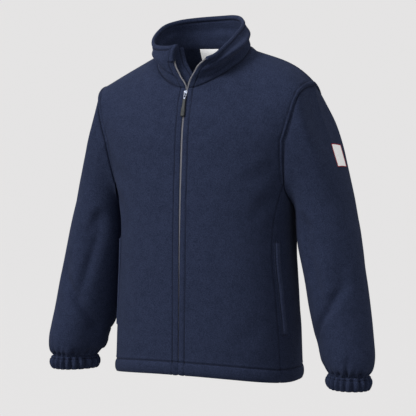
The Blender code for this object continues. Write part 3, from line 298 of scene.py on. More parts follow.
def quads(a, b, c, d):
    return np.stack([a, b, c, d], axis=-1).reshape(-1, 4)


RIM_STEPS = 4
# How deep a point sinks for full painted shade, and how the painted shade falls off above that.
PAINTED_SHADE_FULL_AT, PAINTED_SHADE_FALL = 0.0018, 1.5


def edge_loop(rows, columns):
    """The indices of a grid's border, once round it."""
    index = np.arange(rows * columns).reshape(rows, columns)
    return np.concatenate([index[0, :-1], index[:-1, -1], index[-1, :0:-1], index[:0:-1, 0]])


def cloth_shell(name, cut, thickness, look, swell=0.5):
    """The closed shell of a cut piece: its face, its plain inside and the round edges between them."""
    rows, columns = cut.form.shape[:2]
    outer = cut.face()
    inner = cut.form - cut.normal * (np.broadcast_to(thickness, (rows, columns)) + cut.inner_lift)[..., None]
    count = rows * columns
    index = np.arange(count).reshape(rows, columns)
    right = np.roll(index, -1, axis=1) if cut.closed else index[:, 1:]
    left = index if cut.closed else index[:, :-1]
    faces = [quads(left[:-1], right[:-1], right[1:], left[1:])]
    faces.append(quads(left[:-1], left[1:], right[1:], right[:-1]) + count)
    points = [outer.reshape(-1, 3), inner.reshape(-1, 3)]
    if cut.closed:
        loops = [(index[0], index[1]), (index[-1][::-1], index[-2][::-1])]
    else:
        loop = edge_loop(rows, columns)
        i, j = loop // columns, loop % columns
        inside = index[np.clip(i, 1, rows - 2), np.clip(j, 1, columns - 2)]
        loops = [(loop, inside)]
    total = 2 * count
    for loop, inside in loops:
        a, b, near = points[0][loop], points[1][loop], points[0][inside]
        normal = unit(a - b)
        away = a - near
        away = unit(away - normal * np.sum(away * normal, axis=1, keepdims=True))
        radius = np.linalg.norm(a - b, axis=1, keepdims=True) * swell
        last = loop
        for k in range(1, RIM_STEPS):
            turn = math.pi * k / RIM_STEPS
            points.append((a + b) / 2 + (a - b) / 2 * math.cos(turn) + away * radius * math.sin(turn))
            ring = np.arange(len(loop)) + total
            total += len(loop)
            faces.append(quads(last, ring, np.roll(ring, -1), np.roll(last, -1)))
            last = ring
        faces.append(quads(last, loop + count, np.roll(loop + count, -1), np.roll(last, -1)))
    made = add_mesh(name, np.concatenate(points), np.concatenate(faces), look)
    # Painted shade: each point of either face that its lift sinks in, at seams, stitching, gathers and where
    # one piece tucks under another, is stored darker the deeper it sits.
    pressed_and_painted_shade = np.zeros(total)
    lifts = np.concatenate([cut.lift.ravel(), cut.inner_lift.ravel()])
    pressed_and_painted_shade[: 2 * count] = np.clip(-lifts / PAINTED_SHADE_FULL_AT, 0, 1) ** PAINTED_SHADE_FALL
    made.data.attributes.new("pressed_and_painted_shade", "FLOAT", "POINT").data.foreach_set("value", pressed_and_painted_shade)
    return made


class Socket:
    """A socket of a material, on which Python's arithmetic adds Math nodes."""

    def __init__(self, look, socket):
        self.look, self.socket = look, socket

    def maths(self, operation, other):
        return self.look.node("ShaderNodeMath", {"operation": operation}, {0: self, 1: other})

    def __add__(self, other):
        return self.maths("ADD", other)

    def __mul__(self, other):
        return self.maths("MULTIPLY", other)

    __radd__, __rmul__ = __add__, __mul__


class Look:
    """A material. node() adds any node to it, and wear() feeds the surface's own sockets."""

    def __init__(self, name, **constants):
        self.material = bpy.data.materials.new(name)
        self.material.use_nodes = True
        self.tree = self.material.node_tree
        self.shader = self.tree.nodes["Principled BSDF"]
        for socket, value in constants.items():
            self.shader.inputs[socket.replace("_", " ")].default_value = value

    def node(self, kind, settings=None, inputs=None, output=0):
        made = self.tree.nodes.new(kind)
        for setting, value in (settings or {}).items():
            setattr(made, setting, value)
        for socket, value in (inputs or {}).items():
            self.feed(made.inputs[socket], value)
        return Socket(self, made.outputs[output])

    def feed(self, socket, value):
        if isinstance(value, Socket):
            self.tree.links.new(value.socket, socket)
        else:
            socket.default_value = value

    def wear(self, **sockets):
        for name, value in sockets.items():
            self.feed(self.shader.inputs[name.replace("_", " ")], value)

    def place(self):
        return self.node("ShaderNodeTexCoord", output="Object")

    def noise(self, scale, detail, roughness):
        sizes = {"Scale": scale, "Detail": detail, "Roughness": roughness}
        return self.node("ShaderNodeTexNoise", None, {"Vector": self.place(), **sizes})

    def mix(self, share, first, second):
        """Two colours mixed by a share from 0 to 1."""
        return self.node("ShaderNodeMix", {"data_type": "RGBA"}, {"Factor": share, 6: first, 7: second}, 2)

    def spread(self, value, low, high):
        """A value's range from low to high drawn out to 0 to 1."""
        ends = {"Value": value, "From Min": low, "From Max": high}
        return self.node("ShaderNodeMapRange", {"interpolation_type": "SMOOTHSTEP"}, ends)

    def relief(self, height, depth):
        """The normal of a surface with this height, whose full range is depth metres deep."""
        return self.node("ShaderNodeBump", None, {"Height": height, "Distance": depth, "Strength": 1.0})


# The dark colour of the painted shade, partly nap pressed down under stitching, and how far it darkens the
# fleece.
PRESSED_NAP_AND_PAINTED_SHADE, PAINTED_SHADE_SHARE, NAP_RELIEF = (0.0050, 0.0060, 0.0140, 1), 0.80, 0.0010


def fleece_look(name, deep, lit):
    """Brushed knit: short fibres that clump into soft specks, with painted shade in seams, stitching and
    other sunk places.
    """
    look = Look(
        name,
        Roughness=1.0,
        Specular_IOR_Level=0.08,
        Sheen_Weight=0.10,
        Sheen_Roughness=0.50,
        Sheen_Tint=(0.40, 0.46, 0.68, 1),
    )
    patches = look.noise(60, 2, 0.5)
    clumps = look.noise(480, 3, 0.6)
    fibres = look.noise(1700, 2, 0.65)
    share = look.spread(patches * 0.10 + clumps * 0.55 + fibres * 0.35, 0.38, 0.62)
    # The painted shade stored on each point darkens the fleece's colour in its sunk places.
    pressed_and_painted_shade = look.node("ShaderNodeAttribute", {"attribute_name": "pressed_and_painted_shade"}, output=2)
    nap_colour = look.mix(share, deep, lit)
    look.wear(Base_Color=look.mix(pressed_and_painted_shade * PAINTED_SHADE_SHARE, nap_colour, PRESSED_NAP_AND_PAINTED_SHADE))
    look.wear(Normal=look.relief(clumps * 0.60 + fibres * 0.40, NAP_RELIEF))
    return look


NAVY_DEEP, NAVY_LIT = (0.0212, 0.0296, 0.0640, 1), (0.0475, 0.0622, 0.1265, 1)
navy_fleece = fleece_look("navy fleece", NAVY_DEEP, NAVY_LIT)

low_rows = spaced(BODY_HEIGHT, CLOTH_STEP, first=FINE_STEPS)
mid_rows = spaced(ARMHOLE_HEIGHT, ARMHOLE_STEP)[1:]
high_rows = spaced(SHOULDER_RISE, SHOULDER_STEP, last=EDGE_STEPS)[1:]
shoulder_share = 1 - NECK_SHARE
shoulder_columns = spaced(FRONT_WIDTH * shoulder_share, CLOTH_STEP, last=EDGE_STEPS)[1:]
shoulder_columns = NECK_SHARE + shoulder_share * shoulder_columns
front_columns = spaced(FRONT_WIDTH * NECK_SHARE, CLOTH_STEP, first=FINE_STEPS[:FINE_AT_ZIP]) * NECK_SHARE
back_columns = spaced(BACK_HALF_WIDTH * NECK_SHARE, BACK_STEP) * NECK_SHARE
rows_up = (low_rows, mid_rows, high_rows)
front_neck, back_neck = len(front_columns), len(back_columns)
underarm_row = len(low_rows) - 1

GAP_SHARE = 0.06
front_columns = np.concatenate([front_columns, shoulder_columns])
front_forms, back_forms = [], []
for crown in (SHOULDER_CROWN_LEFT, SHOULDER_CROWN_RIGHT):
    form = panel(-1, rows_up, ARMHOLE_FRONT_ROWS, front_columns, crown)
    form[..., 0] += ZIP_HALF_GAP * np.clip(1 - front_columns / GAP_SHARE, 0, 1)
    front_forms.append(form)
    whole_columns = np.concatenate([back_columns, shoulder_columns])
    back_forms.append(panel(1, rows_up, ARMHOLE_BACK_ROWS, whole_columns, crown))
front_form, back_half = front_forms[0], back_forms[0]


def mirrored(grid):
    """The same grid on the wearer's other side, its columns in the opposite order."""
    return (grid * np.array([-1, 1, 1]))[:, ::-1]


front_left = Cut("front_left", front_form)
front_right = Cut("front_right", mirrored(front_forms[1]))
back = Cut("back", np.concatenate([back_half[:, ::-1], mirrored(back_forms[1])[:, ::-1][:, 1:]], axis=1))
fronts = (
    (front_left, 1, front_left.across, front_left.back_across),
    (front_right, -1, front_right.back_across, front_right.across),
)

half_columns = back_half.shape[1]
low_seam = slice(None, underarm_row + 1)
neck_to_tip = slice(front_neck - 1, None)
tip_to_neck_left = slice(half_columns - back_neck, None, -1)
join_normals([(front_left, lambda k: (low_seam, -1 - k)), (back, lambda k: (low_seam, k))])
join_normals([(front_right, lambda k: (low_seam, k)), (back, lambda k: (low_seam, -1 - k))])
join_normals([(front_left, lambda k: (-1 - k, neck_to_tip)), (back, lambda k: (-1 - k, tip_to_neck_left))])
join_normals([
    (front_right, lambda k: (-1 - k, slice(-front_neck, None, -1))),
    (back, lambda k: (-1 - k, slice(half_columns + back_neck - 2, None))),
])

WAVE_SIZES = ((0.110, 0.0016), (0.045, 0.0006))
FADE_AT_SEAM = 0.022


def waviness(cut, start):
    """The soft unevenness of cloth that hangs free, from the same noise each time."""
    depth = np.zeros(cut.form.shape[:2])
    for size, most in WAVE_SIZES:
        places = cut.form / size + start
        values = [noise.noise(Vector(p)) for p in places.reshape(-1, 3)]
        depth += most * np.array(values).reshape(depth.shape)
    return depth


def fade(*distances):
    """0 at each of these edges, 1 well away from them."""
    return np.prod([1 - bell(d, 0, FADE_AT_SEAM) for d in distances], axis=0)


CREASE_COLUMNS = ("across_1", "up_1", "across_2", "up_2", "bow", "depth", "width")


def creases(across, up, rows):
    """Soft troughs with a low ridge beside them, fading at both ends."""
    depth = np.zeros(across.shape)
    place = np.stack([across, up], axis=-1)
    for row in rows:
        crease = dict(zip(CREASE_COLUMNS, row))
        start = np.array([crease["across_1"], crease["up_1"]])
        way = np.array([crease["across_2"], crease["up_2"]]) - start
        length = np.linalg.norm(way)
        way = way / length
        along = (place - start) @ way / length
        off = (place - start) @ np.array([-way[1], way[0]]) - crease["bow"] * 4 * along * (1 - along)
        strength = np.sin(math.pi * np.clip(along, 0, 1)) ** 0.8
        width = crease["width"]
        ridge = bell(off, 1.7 * width, width) + bell(off, -1.7 * width, width)
        depth -= crease["depth"] * strength * (bell(off, 0, width) - 0.38 * ridge)
    return depth


FRONT_CREASES = (
    (0.205, 0.470, 0.120, 0.410, 0.010, 0.0022, 0.016),
    (0.215, 0.400, 0.150, 0.330, -0.008, 0.0020, 0.014),
    (0.100, 0.560, 0.030, 0.500, 0.006, 0.0016, 0.012),
    (0.185, 0.140, 0.110, 0.070, 0.012, 0.0016, 0.020),
    (0.060, 0.330, 0.100, 0.200, 0.010, 0.0012, 0.022),
)
BACK_CREASES = (
    (0.060, 0.480, 0.170, 0.430, 0.012, 0.0030, 0.016),
    (0.655, 0.470, 0.545, 0.415, -0.012, 0.0028, 0.016),
    (0.090, 0.340, 0.250, 0.280, 0.016, 0.0026, 0.018),
    (0.610, 0.330, 0.470, 0.285, -0.016, 0.0026, 0.018),
    (0.200, 0.215, 0.520, 0.205, 0.014, 0.0022, 0.020),
    (0.355, 0.560, 0.360, 0.330, 0.006, 0.0022, 0.030),
    (0.130, 0.160, 0.230, 0.060, 0.010, 0.0018, 0.020),
    (0.590, 0.170, 0.500, 0.050, -0.010, 0.0018, 0.020),
)
for (cut, _, close, side_seam), start in zip(fronts, (3.0, 8.0)):
    front_wave = waviness(cut, start) * fade(close, side_seam, cut.down)
    cut.bend(front_wave + creases(close, cut.up, FRONT_CREASES))
back_wave = waviness(back, 14.0) * fade(back.across, back.back_across, back.down)
back.bend(back_wave + creases(back.across, back.up, BACK_CREASES))

HEM_HEIGHTS = np.array([0.0, 0.004, 0.011, 0.018, 0.0235, 0.0258, 0.029, 0.034])
HEM_SWELL = np.array([-0.0006, 0.0012, 0.0022, 0.0019, 0.0003, -0.0012, 0.0003, 0.0])
SEAM_DIP, SEAM_SOFT = 0.0011, 0.0028
STITCH_DIP, STITCH_SOFT = 0.0017, 0.0013
ARMHOLE_STITCH, ZIP_STITCH = 0.0060, 0.0118
ZIP_PUFF, ARMHOLE_PUFF, ARMHOLE_PUFF_AT, ARMHOLE_PUFF_WIDTH = 0.0007, 0.0016, 0.0022, 0.0030
CLOSING_WIDTH, HEM_STEP = 0.016, 0.0015


def seam_lift(away):
    """The valley at a seam, where both pieces turn in."""
    return -SEAM_DIP * bell(away, 0, SEAM_SOFT)


def stitch_lift(away, at):
    """The groove that a row of topstitching draws, and the slight puff beside it."""
    puff, groove = bell(away, at, 3.2 * STITCH_SOFT), bell(away, at, STITCH_SOFT)
    return 0.3 * STITCH_DIP * puff - 1.3 * STITCH_DIP * groove


def hem_lift(up):
    return smooth(np.clip(up, 0, HEM_HEIGHTS[-1]), HEM_HEIGHTS, HEM_SWELL)


def dress_panel(cut, sides):
    """Seams, hem and topstitching of a front or back; sides gives the distances from its side edges."""
    body = (np.arange(len(cut.form)) <= underarm_row)[:, None]
    cut.lift += hem_lift(cut.up) + seam_lift(cut.down)
    for side in sides:
        puff = ARMHOLE_PUFF * bell(side, ARMHOLE_PUFF_AT, ARMHOLE_PUFF_WIDTH)
        cut.lift += np.where(body, seam_lift(side), stitch_lift(side, ARMHOLE_STITCH) + puff)


for cut, _, close, side_seam in fronts:
    dress_panel(cut, [side_seam])
    cut.lift += stitch_lift(close, ZIP_STITCH) + ZIP_PUFF * bell(close, ZIP_STITCH / 2, ZIP_STITCH / 3)
dress_panel(back, [back.across, back.back_across])

CLOSING_Z = np.array([-0.75, -0.62, -0.50, -0.36, -0.24, 0.0])
CLOSING_IN = np.array([0.0013, 0.0013, 0.0009, 0.0003, 0.0, 0.0])

for cut, side, close, _ in fronts:
    over = smooth(cut.form[..., 2], CLOSING_Z, CLOSING_IN) * bell(close, 0, CLOSING_WIDTH)
    cut.form[..., 0] -= side * over


def layers(cut):
    """One layer of fleece, and two where the hem is turned up."""
    return FLEECE + (DOUBLE - FLEECE) * np.clip((HEM_TURN + HEM_STEP - cut.up) / (2 * HEM_STEP), 0, 1)


def ride(piece, node, body="jacket"):
    """Hides the solid of the node that a piece stands for, and hangs the piece from the body that carries
    it.
    """
    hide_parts(node)
    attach(piece, body)


def sewn(piece, node, rests_on):
    """The same for a cloth piece. rests_on, the pieces that hold it, is not used."""
    ride(piece, node)


for cut, *_ in fronts:
    piece = cloth_shell(cut.name + "_cloth", cut, layers(cut), navy_fleece)
    sewn(piece, cut.name, ["back", "collar", cut.name.replace("front", "sleeve")])
piece = cloth_shell("back_cloth", back, layers(back), navy_fleece)
sewn(piece, "back", ["collar"])


# ==================================================================== collar
# A stand collar of two layers of the same fleece, seamed round its rim, turned and topstitched. It is
# sewn into the neckline, stands up at the back and falls open at the front, where the zip is undone.

COLLAR_COLUMNS = ("turn", "rim_x", "rim_y", "rim_z", "bulge", "crease", "bow")
COLLAR_ROWS = (
    (-180, -0.0195, -0.1240, -0.0040, 0.000, 0.000, 0.016),
    (-165, -0.0450, -0.1170, -0.0040, 0.003, 0.001, 0.011),
    (-150, -0.0720, -0.1030, -0.0020, 0.006, 0.004, 0.005),
    (-130, -0.1000, -0.0780, 0.0060, 0.007, 0.005, 0.000),
    (-110, -0.1110, -0.0500, 0.0240, 0.005, 0.003, 0.000),
    (-90, -0.1050, -0.0220, 0.0460, 0.003, 0.000, 0.000),
    (-60, -0.0840, 0.0160, 0.0620, 0.003, 0.000, 0.000),
    (-30, -0.0480, 0.0420, 0.0690, 0.003, 0.000, 0.000),
    (0, 0.0000, 0.0550, 0.0720, 0.003, 0.000, 0.000),
    (30, 0.0450, 0.0440, 0.0710, 0.003, 0.000, 0.000),
    (60, 0.0740, 0.0180, 0.0600, 0.005, 0.000, 0.000),
    (90, 0.0850, -0.0120, 0.0440, 0.012, 0.002, 0.000),
    (110, 0.0860, -0.0400, 0.0290, 0.018, 0.004, 0.000),
    (130, 0.0840, -0.0720, 0.0090, 0.019, 0.006, 0.000),
    (150, 0.0790, -0.0980, -0.0110, 0.016, 0.006, 0.002),
    (165, 0.0730, -0.1150, -0.0240, 0.008, 0.003, 0.006),
    (180, 0.0610, -0.1300, -0.0330, 0.000, 0.000, 0.010),
)
COLLAR_SEAM, COLLAR_SEAM_WIDTH = 0.0030, 0.008
COLLAR_HEIGHT, COLLAR_STEP, RIM_FINE_STEPS = 0.085, 0.003, (0.0012,) * 9
BULGE_AT, BULGE_SPREAD = 0.60, 0.20
CREASE_AT, CREASE_SPREAD = 0.27, 0.11
BOW_UP, COLLAR_SWELL = 1.3, 0.26
RIM_STITCH, RIM_PUFF, RIM_PUFF_AT, RIM_PUFF_WIDTH = 0.0085, 0.0015, 0.0040, 0.0036
EDGE_STITCH_END, EDGE_FREE = 0.006, 1.6
COLLAR_CREASES = (
    (0.630, 0.012, 0.560, 0.040, 0.002, 0.0090, 0.0060),
    (0.560, 0.034, 0.500, 0.052, 0.004, 0.0040, 0.0080),
    (0.470, 0.022, 0.400, 0.030, 0.003, 0.0026, 0.0080),
    (0.018, 0.032, 0.125, 0.020, -0.004, 0.0062, 0.0060),
    (0.060, 0.066, 0.150, 0.052, 0.004, 0.0030, 0.0080),
    (0.250, 0.020, 0.330, 0.030, 0.003, 0.0024, 0.0080),
)

half_turns = np.concatenate([
    SHOULDER_TURN * back_columns / NECK_SHARE,
    (math.pi + (SHOULDER_TURN - math.pi) * front_columns[:front_neck] / NECK_SHARE)[-2::-1],
])
collar_turns = np.concatenate([half_turns[::-1], -half_turns[1:]])
back_top, front_top = back_half[-1, :back_neck], front_form[-1, :front_neck]
half_base = np.concatenate([back_top, front_top[-2::-1]])
collar_base = np.concatenate([half_base[::-1], (half_base * [-1, 1, 1])[1:]])


def collar_form():
    """The collar's outer face, its columns from the wearer's left front edge round the back."""
    degrees = np.degrees(collar_turns)
    rows = table(COLLAR_COLUMNS, COLLAR_ROWS)
    size = {name: smooth(degrees, rows["turn"], rows[name]) for name in COLLAR_COLUMNS[1:]}
    rim = np.stack([size["rim_x"], size["rim_y"], size["rim_z"]], axis=1)
    out = np.stack([np.sin(collar_turns), np.cos(collar_turns), 0 * collar_turns], axis=1)
    grid = []
    for t in spaced(COLLAR_HEIGHT, COLLAR_STEP, first=EDGE_STEPS, last=RIM_FINE_STEPS):
        push = size["bulge"] * bell(t, BULGE_AT, BULGE_SPREAD)
        push -= size["crease"] * bell(t, CREASE_AT, CREASE_SPREAD)
        ends = math.sin(math.pi * t) ** 0.5 if 0 < t < 1 else 0.0
        row = collar_base + (rim - collar_base) * t + out * (push * ends)[:, None]
        row[:, 0] -= size["bow"] * math.sin(math.pi * t**BOW_UP)
        grid.append(row)
    return np.array(grid)


collar = Cut("collar", collar_form())
left_neck, right_neck = slice(0, front_neck), slice(-front_neck, None)
back_of_collar = slice(front_neck - 1, front_neck + 2 * back_neck - 2)
join_normals([(collar, lambda k: (k, left_neck)), (front_left, lambda k: (-1 - k, left_neck))])
join_normals([(collar, lambda k: (k, right_neck)), (front_right, lambda k: (-1 - k, right_neck))])
middle_of_back = slice(half_columns - back_neck, half_columns + back_neck - 1)
join_normals([(collar, lambda k: (k, back_of_collar)), (back, lambda k: (-1 - k, middle_of_back))])
free = fade(collar.up) * fade(collar.across * EDGE_FREE, collar.back_across * EDGE_FREE)
collar.bend((waviness(collar, 21.0) + creases(collar.across, collar.up, COLLAR_CREASES)) * free)
rim_bead = 0.95 * stitch_lift(collar.down, RIM_STITCH)
rim_bead += RIM_PUFF * bell(collar.down, RIM_PUFF_AT, RIM_PUFF_WIDTH)
collar.lift += seam_lift(collar.up) + rim_bead
collar.inner_lift += rim_bead
for side in (collar.across, collar.back_across):
    collar.lift += stitch_lift(side, ZIP_STITCH) * np.clip(collar.down / EDGE_STITCH_END, 0, 1)
collar_layers = COLLAR_SEAM + (DOUBLE - COLLAR_SEAM) * np.clip(collar.up / COLLAR_SEAM_WIDTH, 0, 1)
piece = cloth_shell("collar_cloth", collar, collar_layers, navy_fleece, COLLAR_SWELL)
sewn(piece, "collar", ["back", "front_left", "front_right"])


# ==================================================================== sleeves
# Set-in sleeves, each cut from one layer of the fleece with its seam under the arm, and hung from the
# armhole. The wrist end is drawn up on elastic, so that the last hand's breadth is gathered all round.

SLEEVE_COLUMNS = ("x", "y", "z", "outer", "inner", "fore", "aft")
SLEEVE_ROWS = (
    (0.2640, 0.0160, -0.3500, 0.0640, 0.0560, 0.0820, 0.0800),
    (0.2760, 0.0130, -0.4200, 0.0690, 0.0660, 0.0800, 0.0780),
    (0.2945, 0.0080, -0.5100, 0.0660, 0.0650, 0.0770, 0.0750),
    (0.3100, 0.0025, -0.5850, 0.0630, 0.0630, 0.0745, 0.0735),
    (0.3215, -0.0060, -0.6350, 0.0595, 0.0585, 0.0710, 0.0700),
    (0.3285, -0.0115, -0.6640, 0.0560, 0.0555, 0.0680, 0.0670),
    (0.3320, -0.0160, -0.6830, 0.0495, 0.0495, 0.0610, 0.0610),
    (0.3320, -0.0165, -0.6960, 0.0405, 0.0405, 0.0500, 0.0500),
)
SLEEVE_BOXINESS = 2.2
SLEEVE_AROUND, ARM_RINGS, WRIST_RINGS = 240, 50, 54
CAP_LENGTH, CAP_STEP, CAP_SIDE_WAY = 0.230, 0.0046, (0.94, 0, -0.34)
CAP_SPREAD, CAP_LEAN, CAP_TWIST = 0.75, -0.01, 0.43
SLEEVE_TWIST, TWIST_FULL = math.radians(26), 0.35
UNDERLAP, UNDERLAP_WIDTH = 0.0022, 0.0065
GATHERS_FROM, GATHERS, GATHER_DEPTH, GATHER_NIP = 0.62, 20, 0.0120, 0.14
RIDGE_SHARE, RIDGE_WIDTH = 0.18, 0.10
TAKEN_UP_FROM, SEWN_IN, WRIST_LEVEL = (0.95, 0.995), 0.0030, (0.62, 0.90)
FOLD_COLUMNS = ("from_turn", "to_turn", "from_row", "to_row", "depth", "width")
FOLD_ROWS = (
    (150, 60, 0.50, 0.30, 0.0100, 0.24),
    (118, 105, 0.04, 0.34, 0.0080, 0.22),
    (242, 255, 0.04, 0.36, 0.0070, 0.22),
    (205, 300, 0.52, 0.36, 0.0090, 0.26),
    (60, 20, -0.30, 0.02, 0.0045, 0.20),
    (140, 95, -0.20, 0.14, 0.0060, 0.20),
)
SLEEVE = table(SLEEVE_COLUMNS, SLEEVE_ROWS)
sleeve_where = np.linspace(0, 1, len(SLEEVE_ROWS))


def sleeve_line(t):
    """The middle line and its way, from the first section (0) to the wrist (1), where it is the cuff's."""
    point, after, before, wrist, above = (
        np.array([smooth(np.clip(at, 0, 1), sleeve_where, SLEEVE[name]) for name in "xyz"])
        for at in (t, t + 0.01, t - 0.01, 1, 0.99)
    )
    share = np.clip((t - WRIST_LEVEL[0]) / (WRIST_LEVEL[1] - WRIST_LEVEL[0]), 0, 1)
    share = share * share * (3 - 2 * share)
    return point, unit(unit(after - before) * (1 - share) + unit(wrist - above) * share)


def sleeve_axes(t):
    """The middle of a section, the way out to the wearer's side, and the way forward."""
    middle, along = sleeve_line(t)
    outward = unit(np.array([1.0, 0, 0]) - along * along[0])
    forward = np.cross(along, outward)
    return middle, outward, forward if forward[1] < 0 else -forward


def squared(turns):
    """The cosine and sine of turns, squared up as the sleeves' sections are."""
    return (box_power(v, 2 / SLEEVE_BOXINESS) for v in (np.cos(turns), np.sin(turns)))


def twisted(outward, forward, twist):
    """The two ways across a section, turned so that its long way points further out."""
    across = outward * math.cos(twist) - forward * math.sin(twist)
    return across, forward * math.cos(twist) + outward * math.sin(twist)


def sleeve_ring(t, turns):
    """A section of the sleeve, square to its middle line. Turn 0 is its outer side, then its front."""
    middle, outward, forward = sleeve_axes(t)
    size = {name: smooth(t, sleeve_where, SLEEVE[name]) for name in SLEEVE_COLUMNS[3:]}
    twist = SLEEVE_TWIST * min(1.0, t / TWIST_FULL)
    cosine, sine = squared(turns + twist)
    side = np.where(cosine > 0, size["outer"], size["inner"]) * cosine
    deep = np.where(sine > 0, size["fore"], size["aft"]) * sine
    across, ahead = twisted(outward, forward, twist)
    return middle + side[:, None] * across + deep[:, None] * ahead


def even_turns(count):
    return np.arange(count) * 2 * math.pi / count


def armhole_head():
    """Points round the left armhole: from the shoulder tip down the front and up the back."""
    down_front = front_form[underarm_row:, -1][::-1]
    up_back = back_half[underarm_row:, -1]
    loop = np.concatenate([down_front, up_back[1:]])
    share = run(loop, 0) / run(loop, 0)[-1]
    at = np.arange(SLEEVE_AROUND) / SLEEVE_AROUND
    return np.stack([np.interp(at, share, loop[:, k]) for k in range(3)], axis=1)


def sleeve_form():
    """The left sleeve's rings, from the armhole down to the wrist, before its folds."""
    head, turns = armhole_head(), even_turns(SLEEVE_AROUND)
    spread = np.sin(turns)[:, None] ** 2 * CAP_SPREAD
    first = sleeve_ring(0, turns)
    _, along = sleeve_line(0)
    leave = unit(along * (1 - spread) + np.array(CAP_SIDE_WAY) * spread)
    lean = np.clip(np.cos(turns), 0, 1) * (CAP_LEAN - CAP_TWIST * np.sin(turns))
    leave = unit(leave + lean[:, None] * np.array([1.0, 0, 0]))
    reach = np.linalg.norm(first - head, axis=1, keepdims=True)
    cap = spaced(CAP_LENGTH, CAP_STEP, first=EDGE_STEPS)
    rings = [hermite(head, leave * reach, first, along * reach, t) for t in cap]
    arm = np.linspace(0, GATHERS_FROM, ARM_RINGS)[1:]
    wrist = np.linspace(GATHERS_FROM, 1, WRIST_RINGS)[1:]
    rings += [sleeve_ring(t, turns) for t in np.concatenate([arm, wrist])]
    down = np.concatenate([cap - 1, arm, wrist])
    return np.array(rings), turns, down


def turn_bell(turns, middle, width):
    """A bell round a ring, which meets itself."""
    away = (turns - middle + math.pi) % (2 * math.pi) - math.pi
    return np.exp(-((away / width) ** 2))


def fold_depth(turns, down):
    """How far the large soft folds draw the sleeve in."""
    drawn = np.zeros((len(down), len(turns)))
    for row in FOLD_ROWS:
        fold = dict(zip(FOLD_COLUMNS, row))
        low, high = sorted((fold["from_row"], fold["to_row"]))
        share = np.clip((down - fold["from_row"]) / (fold["to_row"] - fold["from_row"]), 0, 1)
        middle = np.radians(fold["from_turn"] + share * (fold["to_turn"] - fold["from_turn"]))
        strength = np.sin(math.pi * np.clip((down - low + 0.08) / (high - low + 0.16), 0, 1)) ** 0.7
        drawn += fold["depth"] * strength[:, None] * turn_bell(turns, middle[:, None], fold["width"])
    return drawn * np.clip(down / 0.06, 0, 1)[:, None]


def gather_depth(turns, down, seed):
    """The gathers above the wrist: each its own depth, length and drift, as elastic draws them."""
    chance = np.random.default_rng(seed)
    drawn = np.zeros((len(down), len(turns)))
    for k in range(GATHERS):
        start = GATHERS_FROM + chance.uniform(-0.04, 0.22)
        share = np.clip((down - start) / (0.985 - start), 0, 1)
        middle = (k + 0.5 + chance.uniform(-0.12, 0.12)) * 2 * math.pi / GATHERS
        drift = chance.uniform(-0.16, 0.16) * (1 - share)
        width = 0.085 + 0.05 * (1 - share)
        depth = GATHER_DEPTH * chance.uniform(0.45, 1.0) * share**1.5 * (1.30 - 0.72 * share)
        depth *= np.interp(down, TAKEN_UP_FROM, (1, 0.12))
        drawn += depth[:, None] * turn_bell(turns, (middle + drift)[:, None], width[:, None])
        ridge_middle = middle + drift + math.pi / GATHERS
        drawn -= RIDGE_SHARE * depth[:, None] * turn_bell(turns, ridge_middle[:, None], RIDGE_WIDTH)
    return drawn


sleeve_rings, sleeve_turns, sleeve_down = sleeve_form()


def dress_sleeve(name, side, seed):
    """One sleeve: its rings turned to run up from the wrist, mirrored for the wearer's right."""
    order = slice(None, None, -side)
    rings = np.concatenate([sleeve_rings, sleeve_rings[-1:] + sleeve_line(1)[1] * SEWN_IN])
    cut = Cut(name, (rings * [side, 1, 1])[::-1, order], closed=True)
    gathers = gather_depth(sleeve_turns, sleeve_down, seed)
    drawn = fold_depth(sleeve_turns, sleeve_down) + gathers
    drawn, gathers = (np.concatenate([part, part[-1:]])[::-1, order] for part in (drawn, gathers))
    cut.bend(waviness(cut, seed) * fade(cut.down, cut.up * 0.5) - drawn)
    # The sunk head and the gathers' troughs also take painted shade from the cloth's shell.
    cut.lift -= (UNDERLAP + SEAM_DIP) * bell(cut.down, 0, UNDERLAP_WIDTH)
    cut.lift -= GATHER_NIP * np.clip(gathers, 0, None)
    return cut


SLEEVE_CLOTH = 0.0020
sleeves = {}
for name, side, seed in (("left", 1, 31), ("right", -1, 47)):
    sleeves[name] = dress_sleeve("sleeve_" + name, side, seed)
    piece = cloth_shell(f"sleeve_{name}_cloth", sleeves[name], SLEEVE_CLOTH, navy_fleece)
    sewn(piece, "sleeve_" + name, ["front_" + name, "back", "cuff_" + name])


# ==================================================================== cuffs
# A band of the same fleece, doubled over elastic and stitched, so that it is drawn into ribs. The hand
# goes through it, and the sleeve's gathered end is sewn into its upper edge.

CUFF_HEIGHT, CUFF_SWELL, CUFF_RIB, CUFF_NIP = 0.027, 0.0052, 0.0046, 0.0010
CUFF_HALF_X, CUFF_HALF_Y, CUFF_DRAWN_IN, CUFF_CLOTH = 0.0410, 0.0530, 0.0010, 0.0045
CUFF_AROUND, CUFF_ROWS = 280, 26


